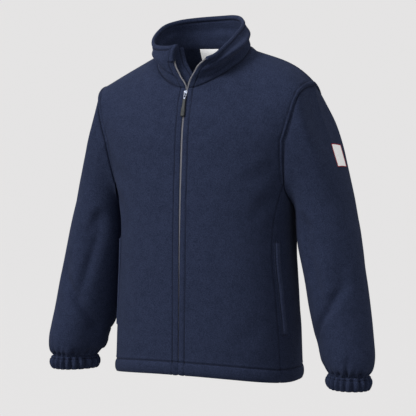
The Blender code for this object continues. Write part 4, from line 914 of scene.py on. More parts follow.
def cuff_form(side, seed):
    """The cuff's outer face, rows up from its lower edge."""
    turns = even_turns(CUFF_AROUND)
    chance = np.random.default_rng(seed)
    middle, outward, forward = sleeve_axes(1)
    _, along = sleeve_line(1)
    cosine, sine = squared(turns + SLEEVE_TWIST)
    across, ahead = twisted(outward, forward, SLEEVE_TWIST)
    depth = np.repeat(chance.uniform(0.65, 1.0, GATHERS), CUFF_AROUND // GATHERS)
    ribs = np.cos(turns * GATHERS)
    ribs = depth * (0.25 + 0.75 * box_power(ribs, 0.8))
    rows = []
    for t in np.linspace(1, 0, CUFF_ROWS):
        swell = CUFF_SWELL * math.sin(math.pi * (0.10 + 0.80 * t)) ** 0.8 - CUFF_DRAWN_IN
        reach = swell + ribs * CUFF_RIB * (0.55 + 0.45 * math.sin(math.pi * t))
        start = middle + along * (SEAM_GAP + CUFF_HEIGHT * t)
        ring = start + ((CUFF_HALF_X + reach) * cosine)[:, None] * across
        rows.append(ring + ((CUFF_HALF_Y + reach) * sine)[:, None] * ahead)
    return (np.array(rows) * [side, 1, 1])[:, :: -side]


CUFF_STITCH = 0.0045
cuffs = []
for name, side, seed in (("left", 1, 5), ("right", -1, 9)):
    cut = Cut("cuff_" + name, cuff_form(side, seed), closed=True)
    cut.lift += 0.6 * stitch_lift(cut.down, CUFF_STITCH)
    cut.lift -= CUFF_NIP * np.clip(-np.cos(even_turns(CUFF_AROUND) * GATHERS), 0, 1)[:: -side] ** 2
    cuffs.append(cut)
    piece = cloth_shell(f"cuff_{name}_cloth", cut, CUFF_CLOTH, navy_fleece)
    sewn(piece, "cuff_" + name, ["sleeve_" + name])


# ==================================================================== zip
# A nylon coil zip. Its tapes are sewn in behind the edges of the fronts and of the collar, and the cloth
# stands just clear of the coils, closing over them lower down. Above the slider the two halves part.

COIL_DEPTH, COIL_PITCH, COIL_WIRE, COIL_SIDES = 0.0026, 0.0017, 0.00056, 5
COIL_HEEL, COIL_NOSE, COIL_PARTED = -0.0005, -0.0034, 0.0009
COIL_OPEN_OUT, COIL_OPEN_OFF = 0.0020, 0.0014
TAPE, TAPE_GAP, TAPE_REACH, TAPE_UNDER_COIL = 0.0010, 0.0013, 0.0125, 0.0008
TAPE_COLUMN, TAPE_STEPS, EVENED_OVER = 9, 4, 4
COIL_LEAN, COIL_SINK, OPENED_OVER = 0.22 * COIL_PITCH, 0.8, 0.012
ZIP_STEP, ZIP_START, ZIP_STOP = COIL_PITCH / 2, 0.0045, 0.0050
SLIDER_Z, PARTED_FROM, PARTED_OVER = -0.1065, 0.004, 0.008
CHIN_GUARD_HEIGHT, ZIP_UNDER_CHIN = 0.034, 0.003

coil_look = Look("zip coil", Roughness=0.42, Specular_IOR_Level=0.5)
coil_shade = coil_look.spread(coil_look.noise(900, 2, 0.5), 0.35, 0.65)
coil_look.wear(Base_Color=coil_look.mix(coil_shade, (0.36, 0.36, 0.40, 1), (0.52, 0.52, 0.57, 1)))
tape_look = Look("zip tape", Roughness=0.85, Specular_IOR_Level=0.2)
tape_weave = tape_look.noise(1400, 1, 0.4)
tape_look.wear(Base_Color=tape_look.mix(tape_weave, (0.012, 0.015, 0.032, 1), (0.026, 0.031, 0.060, 1)))
tape_look.wear(Normal=tape_look.relief(tape_weave, 0.0003))


def evened(values, reach):
    """A moving average along a line."""
    padded = np.concatenate([values[:1]] * reach + [values] + [values[-1:]] * reach)
    return sum(padded[k : k + len(values)] for k in range(2 * reach + 1)) / (2 * reach + 1)


class ClosingEdge:
    """One closing edge from hem to rim, on the cloth's inner face: its points, the ways in, out and up."""

    def __init__(self, front, side):
        edge, inward = (0, TAPE_COLUMN) if side > 0 else (-1, -1 - TAPE_COLUMN)
        points, outs = [], []
        for cut, thickness, last in ((front, layers(front), -1), (collar, collar_layers, None)):
            inner = cut.form - cut.normal * thickness[..., None]
            points.append(inner[:last, [edge, inward]])
            outs.append(cut.normal[:last, edge])
        points[0][:, 0, 0] = side * ZIP_HALF_GAP
        self.seam = run(points[0][:, 0], 0)[-1]
        points, outs = np.concatenate(points), np.concatenate(outs)
        length = run(points[:, 0], 0)
        self.along = np.arange(0, length[-1], ZIP_STEP)
        self.point = self.evenly(points[:, 0], length)
        self.into = unit(self.evenly(unit(points[:, 1] - points[:, 0]), length))
        self.out = unit(self.evenly(outs, length))
        self.up = unit(np.gradient(self.point, axis=0))
        self.side, self.length = side, length[-1]
        z = self.point[:, 2]
        opened = np.clip((self.along - self.seam) / OPENED_OVER, 0, 1)
        self.sink = COIL_SINK * smooth(np.clip(z, *CLOSING_Z[[0, -1]]), CLOSING_Z, CLOSING_IN)
        self.sink -= COIL_OPEN_OUT * opened
        self.parted = COIL_PARTED * np.clip((z - SLIDER_Z - PARTED_FROM) / PARTED_OVER, 0, 1)
        self.parted -= (COIL_PARTED + COIL_OPEN_OFF) * opened

    def evenly(self, values, length):
        """Points or ways along the edge, taken every step of it and evened a little."""
        values = np.stack([np.interp(self.along, length, values[:, k]) for k in range(3)], axis=1)
        return evened(values, EVENED_OVER)

    def beside(self, into, out, rows=slice(None)):
        """Points that lie this far in from the edge and this far out from the cloth's inner face."""
        return self.point[rows] + self.into[rows] * into + self.out[rows] * out


def turned_out(made):
    """The same closed mesh, its faces turned to face out."""
    shape = bmesh.new()
    shape.from_mesh(made.data)
    if shape.calc_volume(signed=True) < 0:
        made.data.flip_normals()
    shape.free()
    return made


def tubes(name, paths, radii, sideways, look):
    """Round bars along many short paths, all in one mesh. sideways is a way square to each path."""
    count, steps = paths.shape[:2]
    along = unit(np.gradient(paths, axis=1))
    first = unit(sideways - along * np.sum(along * sideways, -1, keepdims=True))
    second = np.cross(along, first)
    rings = [
        paths + radii[:, None] * (first * math.cos(turn) + second * math.sin(turn))
        for turn in even_turns(COIL_SIDES)
    ]
    points = np.stack(rings, axis=2)
    index = np.arange(count * steps * COIL_SIDES).reshape(count, steps, COIL_SIDES)
    beside = np.roll(index, -1, axis=2)
    faces = list(quads(index[:, :-1], beside[:, :-1], beside[:, 1:], index[:, 1:]))
    faces += list(index[:, 0, ::-1]) + list(index[:, -1])
    return turned_out(add_mesh(name, points.reshape(-1, 3), faces, look))


def coil(edge, name, first, stop):
    """One side's coil: a loop round the tape's edge every pitch, its nose at the middle of the zip."""
    rows = np.arange(first, np.searchsorted(edge.along, edge.length - stop), 2)
    low, high = -TAPE_GAP + COIL_WIRE, COIL_DEPTH - TAPE_GAP - COIL_WIRE
    half_way = (COIL_HEEL + COIL_NOSE) / 2
    loop = (
        (COIL_HEEL, low, -COIL_LEAN),
        (half_way, low, -COIL_LEAN),
        (COIL_NOSE, low * 0.6 + high * 0.4, -COIL_LEAN * 0.4),
        (COIL_NOSE, low * 0.3 + high * 0.7, COIL_LEAN * 0.4),
        (half_way, high, COIL_LEAN),
        (COIL_HEEL, high, COIL_LEAN),
        (COIL_HEEL + COIL_WIRE, (low + high) / 2, COIL_PITCH * 0.6),
    )
    parted, sink, upward = edge.parted[rows, None], edge.sink[rows, None], edge.up[rows]
    paths = [edge.beside(into + parted, out - sink, rows) + upward * up for into, out, up in loop]
    radii = np.full(len(loop), COIL_WIRE)
    return tubes(name, np.stack(paths, axis=1), radii, upward[:, None, :], coil_look)


def tape(edge, name, stop):
    """The woven tape behind the cloth, from under the coil to its own inner edge."""
    rows = np.arange(zip_first, np.searchsorted(edge.along, edge.length - stop), TAPE_STEPS)
    reaches = np.linspace(COIL_HEEL - TAPE_UNDER_COIL, TAPE_REACH, 8)[:: edge.side]
    sink = -edge.sink[rows, None] - TAPE_GAP
    form = np.stack([edge.beside(reach, sink, rows) for reach in reaches], axis=1)
    return cloth_shell(name, Cut(name, form), TAPE, tape_look)


left_edge, right_edge = ClosingEdge(front_left, 1), ClosingEdge(front_right, -1)
zip_first = round(ZIP_START / ZIP_STEP)
for edge, name, phase, stop in (
    (left_edge, "left", 0, ZIP_STOP),
    (right_edge, "right", 1, CHIN_GUARD_HEIGHT - ZIP_UNDER_CHIN),
):
    ride(coil(edge, f"zip_{name}_coil", zip_first + phase, stop), "zip_" + name)
    piece = tape(edge, f"zip_{name}_tape", stop)
    sewn(piece, "zip_" + name, ["front_" + name, "collar"])


# ==================================================================== zip guard
# A doubled strip of the fleece, sewn in behind the zip on the wearer's right, which lies behind the left
# front. Its top is folded over the collar's edge and stitched down, so that the zip's end can't scratch.

GUARD_REACH, GUARD_COLUMNS, GUARD_CLOTH = 0.025, 26, 0.0021
GUARD_OPEN_REACH, GUARD_TOP_REACH, GUARD_TURNED_IN = 0.032, 0.010, 0.025
GUARD_OPEN_TURN = np.array([1.0, 0.36, -0.04])
GUARD_SPACE, GUARD_TOP_SPACE, GUARD_STITCH = 0.0030, 0.0044, 0.0085
GUARD_PUFF, GUARD_PUFF_AT, GUARD_PUFF_WIDTH = 0.0005, 0.004, 0.003
OTHER_SIDE = np.array([-1, 1, 1])


def guard_row(edge, i):
    """One row across the guard, from behind the right front to its own free edge."""
    point, into, out = edge.point[i], edge.into[i], edge.out[i]
    outs = [out, out, out * OTHER_SIDE, out * OTHER_SIDE]
    path = [point + into * TAPE_REACH, point, point * OTHER_SIDE, (point + into * GUARD_REACH) * OTHER_SIDE]
    space = GUARD_SPACE
    if edge.along[i] > edge.seam:
        seam = np.searchsorted(edge.along, edge.seam)
        start = edge.point[seam]
        closed_way = unit((start + edge.into[seam] * GUARD_REACH) * OTHER_SIDE - start)
        up_share = (edge.along[i] - edge.seam) / (edge.length - edge.seam)
        open_share = min(1.0, (edge.along[i] - edge.seam) / GUARD_TURNED_IN)
        way = unit(closed_way * (1 - open_share) + unit(GUARD_OPEN_TURN) * open_share)
        facing = unit(np.cross(way, edge.up[i]))
        reach = GUARD_OPEN_REACH + (GUARD_TOP_REACH - GUARD_OPEN_REACH) * up_share**3
        space += (GUARD_TOP_SPACE - GUARD_SPACE) * up_share
        path[2:] = [point + way * min(2 * ZIP_HALF_GAP, reach / 2), point + way * reach]
        outs[2:] = [unit(facing + out), facing]
    near = np.array([p - n * space for p, n in zip(path, outs)])
    chord = run(near, 0)
    at = np.linspace(0, chord[-1], GUARD_COLUMNS)
    return np.stack([smooth(at, chord, near[:, k]) for k in range(3)], axis=1)


guard_rows = np.arange(zip_first, len(right_edge.along) - 4, 3)
guard = Cut("zip_guard", evened(np.array([guard_row(right_edge, i) for i in guard_rows]), 3))
guard.lift += stitch_lift(guard.back_across, GUARD_STITCH)
guard.lift += GUARD_PUFF * bell(guard.back_across, GUARD_PUFF_AT, GUARD_PUFF_WIDTH)
piece = cloth_shell("zip_guard_cloth", guard, GUARD_CLOTH, navy_fleece)
sewn(piece, "zip_guard", ["front_right", "collar"])

CHIN_REACH, CHIN_TURN, CHIN_EDGE, CHIN_ABOVE = 0.0110, 0.0025, 0.0042, 0.0035
CHIN_CLEAR, CHIN_ROWS = 0.0022, 30
CHIN_TOP_FROM, CHIN_TOP_SHARE = 0.0065, 0.80
CHIN_STITCH, CHIN_PRESSED, CHIN_PRESSED_WIDTH = 0.0030, 0.16, 0.0025
CHIN_PUFF, CHIN_PUFF_WIDTH = 0.0004, 0.004


def chin_form(edge):
    """The folded top: each row goes in from the outside, round the collar's edge and back inside."""
    rows = []
    middle, half = DOUBLE / 2, DOUBLE / 2 + CHIN_CLEAR + GUARD_CLOTH
    legs = np.linspace(CHIN_REACH, CHIN_TURN, 7)[:-1]
    turns = np.linspace(math.pi / 2, -math.pi / 2, 25)
    for up in np.linspace(-CHIN_GUARD_HEIGHT, CHIN_ABOVE, CHIN_ROWS):
        i = min(np.searchsorted(edge.along, edge.length + up), len(edge.along) - 6)
        beyond = edge.length + up - edge.along[i]
        closing = np.clip((up + CHIN_TOP_FROM) / (CHIN_TOP_FROM + CHIN_ABOVE), 0, 1)
        depth = half * math.sqrt(1 - CHIN_TOP_SHARE * closing**2)
        bend = box_power(np.sin(turns), 0.7)
        around = CHIN_TURN - (CHIN_TURN + CHIN_EDGE * (1 - closing**2)) * np.abs(np.cos(turns)) ** 0.8
        into = np.concatenate([legs, around, legs[::-1]])
        out = np.concatenate([np.ones(len(legs)), bend, -np.ones(len(legs))]) * depth
        pressed_and_painted_shade = 1 - CHIN_PRESSED * bell(into, CHIN_REACH, CHIN_PRESSED_WIDTH)
        row = edge.point[i] + edge.up[i] * beyond + into[:, None] * edge.into[i]
        rows.append(row + (middle + out * pressed_and_painted_shade)[:, None] * edge.out[i])
    return evened(np.array(rows), 2)


chin = Cut("chin_guard", chin_form(right_edge))
chin.lift += stitch_lift(chin.across, CHIN_STITCH) + CHIN_PUFF * bell(chin.up, 0, CHIN_PUFF_WIDTH)
piece = cloth_shell("chin_guard_cloth", chin, GUARD_CLOTH, navy_fleece)
sewn(piece, "chin_guard", ["collar"])


# ==================================================================== slider and pull
# A plated die-cast slider with its bridge, a flat pull with a slot round the bridge, and a rubber grip
# moulded on the pull's end. The pull hangs down in front of the zip, and swings up on the bridge.

STATION, STATION_LEAN = np.array([0.0, -0.1163793, -0.1064522]), math.radians(15.615)
SLIDER_WIDTH, SLIDER_HEIGHT, SLIDER_CORNER, SLIDER_WAIST = 0.0094, 0.0165, 0.0028, 0.74
SLIDER_CLEAR, PLATE, PLATE_BEVEL = 0.0009, 0.0013, 0.0007
BACK_PLATE_AT, BACK_PLATE, BACK_PLATE_BEVEL, BACK_PLATE_SHARE = 0.0040, 0.0010, 0.0004, 0.94
POST_SIZE, POST_BEVEL, POST_UP = (0.0016, 0.0036, 0.0006), 0.0001, 0.0058
BRIDGE_WIDTH, BRIDGE_BAR, BRIDGE_TUNNEL, BRIDGE_LOW, BRIDGE_HIGH = 0.0017, 0.0012, 0.0027, -0.0062, 0.0026
BRIDGE_ROUND, BRIDGE_ROOT = 0.55, 0.0005
PIVOT_Z, PULL_BAR, PULL_SLOT, PULL_SLOT_WIDTH = -0.0038, 0.0014, 0.0040, 0.0028
PULL_WIDTH, PULL_TAPER, PULL_LENGTH, PULL_THICK = 0.0060, 0.72, 0.0215, 0.0014
PULL_CORNER, PULL_SLOT_CORNER = 0.0013, 0.0009
GRIP_WIDTH, GRIP_LENGTH, GRIP_THICK, GRIP_ROUND, GRIP_OVER = 0.0090, 0.0250, 0.0044, 0.38, 0.0140
GRIP_COLUMNS = ("share", "wide", "thick")
GRIP_ROWS = (
    (0.00, 0.56, 0.50),
    (0.02, 0.68, 0.62),
    (0.10, 0.72, 0.70),
    (0.42, 0.74, 0.74),
    (0.50, 0.80, 0.86),
    (0.58, 0.98, 0.98),
    (0.70, 1.00, 1.00),
    (0.90, 1.00, 0.96),
    (0.97, 0.92, 0.80),
    (1.00, 0.66, 0.50),
)
GRIP_GROOVES, GRIP_GROOVE_DEPTH, GRIP_GROOVE_WIDTH = (0.66, 0.73, 0.80, 0.87), 0.00035, 0.014

nickel_look = Look("nickel", Metallic=1.0, Roughness=0.30)
nickel_wear = nickel_look.spread(nickel_look.noise(500, 3, 0.6), 0.35, 0.70)
nickel_look.wear(
    Base_Color=nickel_look.mix(nickel_wear, (0.21, 0.23, 0.29, 1), (0.10, 0.11, 0.14, 1)),
    Roughness=nickel_wear * 0.16 + 0.40,
)
rubber_look = Look("rubber", Roughness=0.55, Specular_IOR_Level=0.45)
rubber_grain = rubber_look.noise(1800, 2, 0.5)
rubber_look.wear(
    Base_Color=rubber_look.mix(rubber_grain, (0.030, 0.034, 0.036, 1), (0.062, 0.068, 0.072, 1)),
    Normal=rubber_look.relief(rubber_grain, 0.00010),
)


def beside_zip(points):
    """Points beside the closed zip, with x across it, y in from the cloth's face and z up it."""
    x, y, z = np.moveaxis(points, -1, 0)
    cosine, sine = math.cos(STATION_LEAN), math.sin(STATION_LEAN)
    return np.stack([x, y * cosine + z * sine, z * cosine - y * sine], axis=-1) + STATION


def rounded_outline(width, height, radius, steps=7):
    """A rounded rectangle's points, anticlockwise from its lower right as seen from the front."""
    points = []
    for quarter, (right, top) in enumerate(((1, -1), (1, 1), (-1, 1), (-1, -1))):
        for k in range(steps + 1):
            turn = math.radians(-90 + 90 * quarter + 90 * k / steps)
            x = right * (width / 2 - radius) + radius * math.cos(turn)
            points.append((x, top * (height / 2 - radius) + radius * math.sin(turn)))
    return np.array(points)


def loft(name, rings, look, ring_of_rings=False):
    """A solid through rings of points, closed at both ends or on itself."""
    rings = beside_zip(np.array(rings))
    count, around = rings.shape[:2]
    index = np.arange(count * around).reshape(count, around)
    ahead = np.roll(index, -1, axis=0) if ring_of_rings else index[1:]
    here = index if ring_of_rings else index[:-1]
    faces = list(quads(here, np.roll(here, -1, axis=1), np.roll(ahead, -1, axis=1), ahead))
    if not ring_of_rings:
        faces += [index[0, ::-1], index[-1]]
    return turned_out(add_mesh(name, rings.reshape(-1, 3), faces, look, 38))


def plate_rings(outline, back, front, bevel):
    """Rings of a flat plate with rounded edges, from its back to its front."""
    size = np.abs(outline).max(axis=0)
    rings = []
    for k in range(9):
        turn = math.pi * k / 8
        narrowed = outline * (1 - bevel * (1 - math.sin(turn) ** 0.6) / size)
        y = (back + front) / 2 + (back - front) / 2 * math.cos(turn)
        rings.append(np.stack([narrowed[:, 0], np.full(len(outline), y), narrowed[:, 1]], axis=1))
    return np.array(rings)


shield = rounded_outline(SLIDER_WIDTH, SLIDER_HEIGHT, SLIDER_CORNER)
waist = 1 - (1 - SLIDER_WAIST) * np.clip(0.62 - shield[:, 1] / SLIDER_HEIGHT, 0, 1) ** 1.5
shield[:, 0] *= waist
plate_y, back_shield = -SLIDER_CLEAR - PLATE, shield * BACK_PLATE_SHARE
front_plate = plate_rings(shield, -SLIDER_CLEAR, plate_y, PLATE_BEVEL)
back_plate = plate_rings(back_shield, BACK_PLATE_AT + BACK_PLATE, BACK_PLATE_AT, BACK_PLATE_BEVEL)
post = plate_rings(rounded_outline(*POST_SIZE), BACK_PLATE_AT, -SLIDER_CLEAR, POST_BEVEL)
post[..., 2] += POST_UP
middle_z, half_z = (BRIDGE_LOW + BRIDGE_HIGH) / 2, (BRIDGE_HIGH - BRIDGE_LOW - BRIDGE_BAR) / 2
bridge_rings = []
for turn in np.linspace(0, math.pi, 21):
    sine, cosine = box_power(math.sin(turn), BRIDGE_ROUND), box_power(math.cos(turn), BRIDGE_ROUND)
    rise = BRIDGE_TUNNEL + BRIDGE_BAR / 2 + BRIDGE_ROOT
    centre = np.array([0.0, plate_y + BRIDGE_ROOT - rise * sine, middle_z - half_z * cosine])
    away = unit(np.array([0.0, -sine * half_z, -cosine * rise]))
    ring = rounded_outline(BRIDGE_WIDTH, BRIDGE_BAR, 0.0004, 3)
    bridge_rings.append(centre + ring[:, :1] * [1, 0, 0] + ring[:, 1:] * away)
slider_pieces = {"plate": front_plate, "back_plate": back_plate, "post": post, "bridge": bridge_rings}
for name, rings in slider_pieces.items():
    ride(loft("slider_" + name, rings, nickel_look), "slider")

pull_y = plate_y - BRIDGE_TUNNEL / 2
pull_drop = PULL_BAR / 2 - PULL_LENGTH / 2
strap = rounded_outline(PULL_WIDTH, PULL_LENGTH, PULL_CORNER)
strap[:, 0] *= 1 - (1 - PULL_TAPER) * np.clip(-strap[:, 1] / PULL_LENGTH * 2 + 0.2, 0, 1) ** 0.8
slot_z = -PULL_SLOT / 2 - PULL_BAR / 2 - pull_drop
slot = rounded_outline(PULL_SLOT_WIDTH, PULL_SLOT, PULL_SLOT_CORNER) + [0, slot_z]
rings = []
for outline, inset, y in (
    (slot, 0, 0.5), (slot, 0.0002, 0.9), (strap, -0.0004, 1), (strap, 0, 0.55),
    (strap, 0, -0.55), (strap, -0.0004, -1), (slot, 0.0002, -0.9), (slot, 0, -0.5),
):
    middle = outline.mean(axis=0)
    flat = middle + (outline - middle) * (1 + inset / (PULL_WIDTH / 2))
    depth = np.full(len(flat), pull_y - y * PULL_THICK / 2)
    rings.append(np.stack([flat[:, 0], depth, flat[:, 1] + pull_drop + PIVOT_Z], axis=1))
ride(loft("pull_strap", rings, nickel_look, True), "pull_tab", "pull")

GRIP = table(GRIP_COLUMNS, GRIP_ROWS)
grip_top = PIVOT_Z + PULL_BAR / 2 - PULL_LENGTH - SEAM_GAP + GRIP_OVER
rings = []
for share in np.linspace(0, 1, 64):
    wide, thick = (smooth(share, GRIP["share"], GRIP[name]) for name in ("wide", "thick"))
    groove = sum(bell(share, at, GRIP_GROOVE_WIDTH) for at in GRIP_GROOVES) * GRIP_GROOVE_DEPTH
    height = GRIP_THICK * thick - 2 * groove
    ring = rounded_outline(GRIP_WIDTH * wide - groove, height, height * GRIP_ROUND, 5)
    z = np.full(len(ring), grip_top - (GRIP_LENGTH + GRIP_OVER) * share)
    rings.append(np.stack([ring[:, 0], pull_y + ring[:, 1], z], axis=1))
ride(loft("pull_grip_rubber", rings, rubber_look), "pull_grip", "pull")


# ==================================================================== welts, label and badge
# The side pockets' welts are doubled strips of the fleece, stitched flat behind the side seams. The neck
# label and the sleeve badge are woven, and both are blank.

WELT_TOP_Z, WELT_BOTTOM_Z, WELT_WIDTH, WELT_FROM_SEAM, WELT_LEAN = -0.4150, -0.6170, 0.0190, 0.0100, 0.0055
WELT_ROWS, WELT_COLUMNS, LABEL_ROWS, LABEL_COLUMNS, BADGE_ROWS, BADGE_COLUMNS = 70, 17, 22, 15, 28, 25
WELT_CLOTH, WELT_STITCH, WELT_PUFF, WELT_EDGE_DIP, LAY_GAP = 0.0024, 0.0026, 0.0020, 0.0014, 0.0003
WELT_EDGE_WIDTH, WELT_PUFF_OVER, WELT_SWELL = 0.0012, 0.004, 0.35
# The welts' colours are a lighter copy of the navy fleece: a painted sheen on the raised strips.
WELT_PAINTED_SHEEN_DEEP, WELT_PAINTED_SHEEN_LIT = (0.0310, 0.0420, 0.0860, 1), (0.0690, 0.0880, 0.1720, 1)
LABEL_X, LABEL_WIDTH, LABEL_HEIGHT, LABEL_HANG, LABEL_CLOTH = -0.026, 0.041, 0.050, 0.0120, 0.0006
LABEL_SEWN_IN, LABEL_TOP_STEPS = 0.003, 0.3
BADGE_WIDTH, BADGE_HEIGHT, BADGE_Z, BADGE_SHIFT, BADGE_CLOTH = 0.043, 0.047, -0.2350, 0.007, 0.0009
BADGE_SLANT, BADGE_EDGE, BADGE_EDGE_FLAT, BADGE_EDGE_SIDES = 0.10, 0.0007, 1.3, 8


def woven_look(name, dark, pale):
    """A fine plain weave, its threads crossing one another."""
    look = Look(name, Roughness=0.75, Specular_IOR_Level=0.25)
    threads = look.noise(1500, 1, 0.5)
    look.wear(Base_Color=look.mix(threads, dark, pale), Normal=look.relief(threads, 0.0002))
    return look


# Painted sheen: the welts take the same fleece, coloured lighter.
welt_fleece_painted_sheen = fleece_look("fleece with painted sheen", WELT_PAINTED_SHEEN_DEEP, WELT_PAINTED_SHEEN_LIT)
white_weave_painted_glow = woven_look("white weave with painted glow", (0.84, 0.84, 0.85, 1), (0.96, 0.96, 0.97, 1))
# The white weave glows a little though it is no lamp: painted light that keeps the label and badge bright.
white_weave_painted_glow.wear(Emission_Color=(1.0, 1.0, 1.0, 1), Emission_Strength=0.28)
red_weave = woven_look("red thread", (0.45, 0.02, 0.04, 1), (0.66, 0.04, 0.07, 1))


def on_grid(grid, rows, columns):
    """Points on a grid at fractional rows and columns."""
    rows, columns = np.asarray(rows, float)[..., None], np.asarray(columns, float)[..., None]
    i = np.clip(rows.astype(int), 0, grid.shape[0] - 2)[..., 0]
    j = np.clip(columns.astype(int), 0, grid.shape[1] - 2)[..., 0]
    a, b = rows - i[..., None], columns - j[..., None]
    low = grid[i, j] * (1 - b) + grid[i, j + 1] * b
    return low * (1 - a) + (grid[i + 1, j] * (1 - b) + grid[i + 1, j + 1] * b) * a


def line_round(grid, row):
    """The points of a grid's every column at a fractional row."""
    columns = np.arange(grid.shape[1], dtype=float)
    return on_grid(grid, np.full(len(columns), row), columns)


def laid(name, face, normals, rows, columns, lift):
    """A piece laid on a face at these rows and columns, its outer face this far off it."""
    ways_out = unit(on_grid(normals, rows, columns))
    return Cut(name, on_grid(face, rows, columns) + ways_out * np.asarray(lift)[..., None])


def places_along(line, at):
    """The places, in steps, at which a line that only rises or only falls has these values."""
    steps = np.arange(len(line), dtype=float)
    if line[-1] < line[0]:
        line, steps = line[::-1], steps[::-1]
    return np.interp(at, line, steps)


welts = []
back_face = back.face()
for name, side, seam_column, away in (("left", 1, 0, back.across), ("right", -1, -1, back.back_across)):
    rows = places_along(back_face[:, seam_column, 2], np.linspace(WELT_BOTTOM_Z, WELT_TOP_Z, WELT_ROWS))
    columns = []
    for k, row in enumerate(rows):
        near = WELT_FROM_SEAM - WELT_LEAN * k / (len(rows) - 1)
        reach = near + WELT_WIDTH * np.linspace(0, 1, WELT_COLUMNS)
        columns.append(places_along(away[round(row)], reach)[::side])
    rows = np.repeat(rows[:, None], WELT_COLUMNS, axis=1)
    welt = laid("welt_" + name, back_face, back.normal, rows, np.array(columns), LAY_GAP + WELT_CLOTH)
    edges = (welt.up, welt.down, welt.across, welt.back_across)
    # The dips at the welt's edges also take painted shade from the cloth's shell, a dark outline.
    for edge in edges:
        welt.lift += stitch_lift(edge, WELT_STITCH) - WELT_EDGE_DIP * bell(edge, 0, WELT_EDGE_WIDTH)
    inside = np.minimum.reduce(edges)
    welt.lift += WELT_PUFF * np.clip((inside - WELT_STITCH) / WELT_PUFF_OVER, 0, 1)
    piece = cloth_shell(f"welt_{name}_cloth", welt, WELT_CLOTH, welt_fleece_painted_sheen, WELT_SWELL)
    sewn(piece, "welt_" + name, ["back"])
    welts.append(welt)

back_inner = back.form - back.normal * layers(back)[..., None]
middle_column = back_inner.shape[1] // 2
low_row = np.searchsorted(-back.down[:, middle_column], -LABEL_HEIGHT - LABEL_SEWN_IN)
rows = np.linspace(low_row, len(back_inner) - 1 - LABEL_TOP_STEPS, LABEL_ROWS)
xs = LABEL_X + LABEL_WIDTH * np.linspace(-0.5, 0.5, LABEL_COLUMNS)
columns = [places_along(-line_round(back_inner, row)[:, 0], -xs) for row in rows]
rows = np.repeat(rows[:, None], LABEL_COLUMNS, axis=1)
hang = LAY_GAP + LABEL_CLOTH + LABEL_HANG * np.sin(math.pi / 2 * (1 - np.linspace(0, 1, LABEL_ROWS)))
hang = np.repeat(hang[:, None], LABEL_COLUMNS, axis=1)
label = laid("neck_label", back_inner, -back.normal, rows, columns, hang)
piece = cloth_shell("neck_label_cloth", label, LABEL_CLOTH, white_weave_painted_glow)
sewn(piece, "neck_label", ["back"])

arm = sleeves["left"]
arm_face = np.roll(arm.face(), SLEEVE_AROUND // 2, axis=1)
arm_normal = np.roll(arm.normal, SLEEVE_AROUND // 2, axis=1)
outer_side = SLEEVE_AROUND // 2 - 1
near = slice(outer_side - SLEEVE_AROUND // 8, outer_side + SLEEVE_AROUND // 8 + 1)
ends = BADGE_Z + BADGE_HEIGHT * np.array([-0.5, 0.5])
rows = np.linspace(*places_along(arm_face[:, outer_side, 2], ends), BADGE_ROWS)
middle_y = line_round(arm_face, rows[BADGE_ROWS // 2])[outer_side, 1]
columns = []
for row in rows:
    line = line_round(arm_face, row)
    length = run(line, 0)
    centre = np.interp(middle_y, line[near, 1], length[near]) + BADGE_SHIFT
    centre += BADGE_SLANT * (line[outer_side, 2] - BADGE_Z)
    columns.append(places_along(length, centre + BADGE_WIDTH * np.linspace(-0.5, 0.5, BADGE_COLUMNS)))
rows = np.repeat(rows[:, None], BADGE_COLUMNS, axis=1)
badge = laid("sleeve_badge", arm_face, arm_normal, rows, columns, np.full(rows.shape, LAY_GAP + BADGE_CLOTH))
piece = cloth_shell("sleeve_badge_cloth", badge, BADGE_CLOTH, white_weave_painted_glow)
sewn(piece, "sleeve_badge", ["sleeve_left"])

border = edge_loop(*badge.form.shape[:2])
ring = badge.face().reshape(-1, 3)[border]
ring_out = badge.normal.reshape(-1, 3)[border]
ring_along = unit(np.roll(ring, -1, axis=0) - np.roll(ring, 1, axis=0))
ring_side = np.cross(ring_along, ring_out)
tube = np.stack([
    ring + BADGE_EDGE * (ring_side * math.cos(turn) * BADGE_EDGE_FLAT + ring_out * math.sin(turn))
    for turn in even_turns(BADGE_EDGE_SIDES)
], axis=1)
index = np.arange(len(ring) * BADGE_EDGE_SIDES).reshape(len(ring), BADGE_EDGE_SIDES)
ahead = np.roll(index, -1, axis=0)
faces = quads(index, np.roll(index, -1, axis=1), np.roll(ahead, -1, axis=1), ahead)
piece = turned_out(add_mesh("sleeve_badge_edge", tube.reshape(-1, 3), faces, red_weave))
ride(piece, "sleeve_badge")


# ==================================================================== stitching
# Navy polyester lockstitch, 3 mm to the stitch: along the hem, both sides of the zip, the armholes, the
# collar's rim on both its faces, the guard, the welts and the cuffs. It is drawn down into the nap.

STITCH_PITCH, STITCH_LONG, THREAD = 0.0030, 0.0023, 0.00032

thread_look = Look("thread", Roughness=0.55, Specular_IOR_Level=0.35)
thread_shade = thread_look.noise(700, 2, 0.5)
thread_look.wear(
    Base_Color=thread_look.mix(thread_shade, (0.010, 0.013, 0.030, 1), (0.028, 0.034, 0.070, 1))
)


def line_up(face, normal, away, at, rows=slice(None)):
    """A line up a face, where its distance from an edge is the same: its points and their ways out."""
    steps = np.arange(len(away), dtype=float)
    columns = [places_along(line, at) for line in away]
    return on_grid(face, steps, columns)[rows], unit(on_grid(normal, steps, columns))[rows]


def line_across(face, normal, away, at, columns=slice(None)):
    """The same across a face."""
    return line_up(np.swapaxes(face, 0, 1), np.swapaxes(normal, 0, 1), away.T, at, columns)


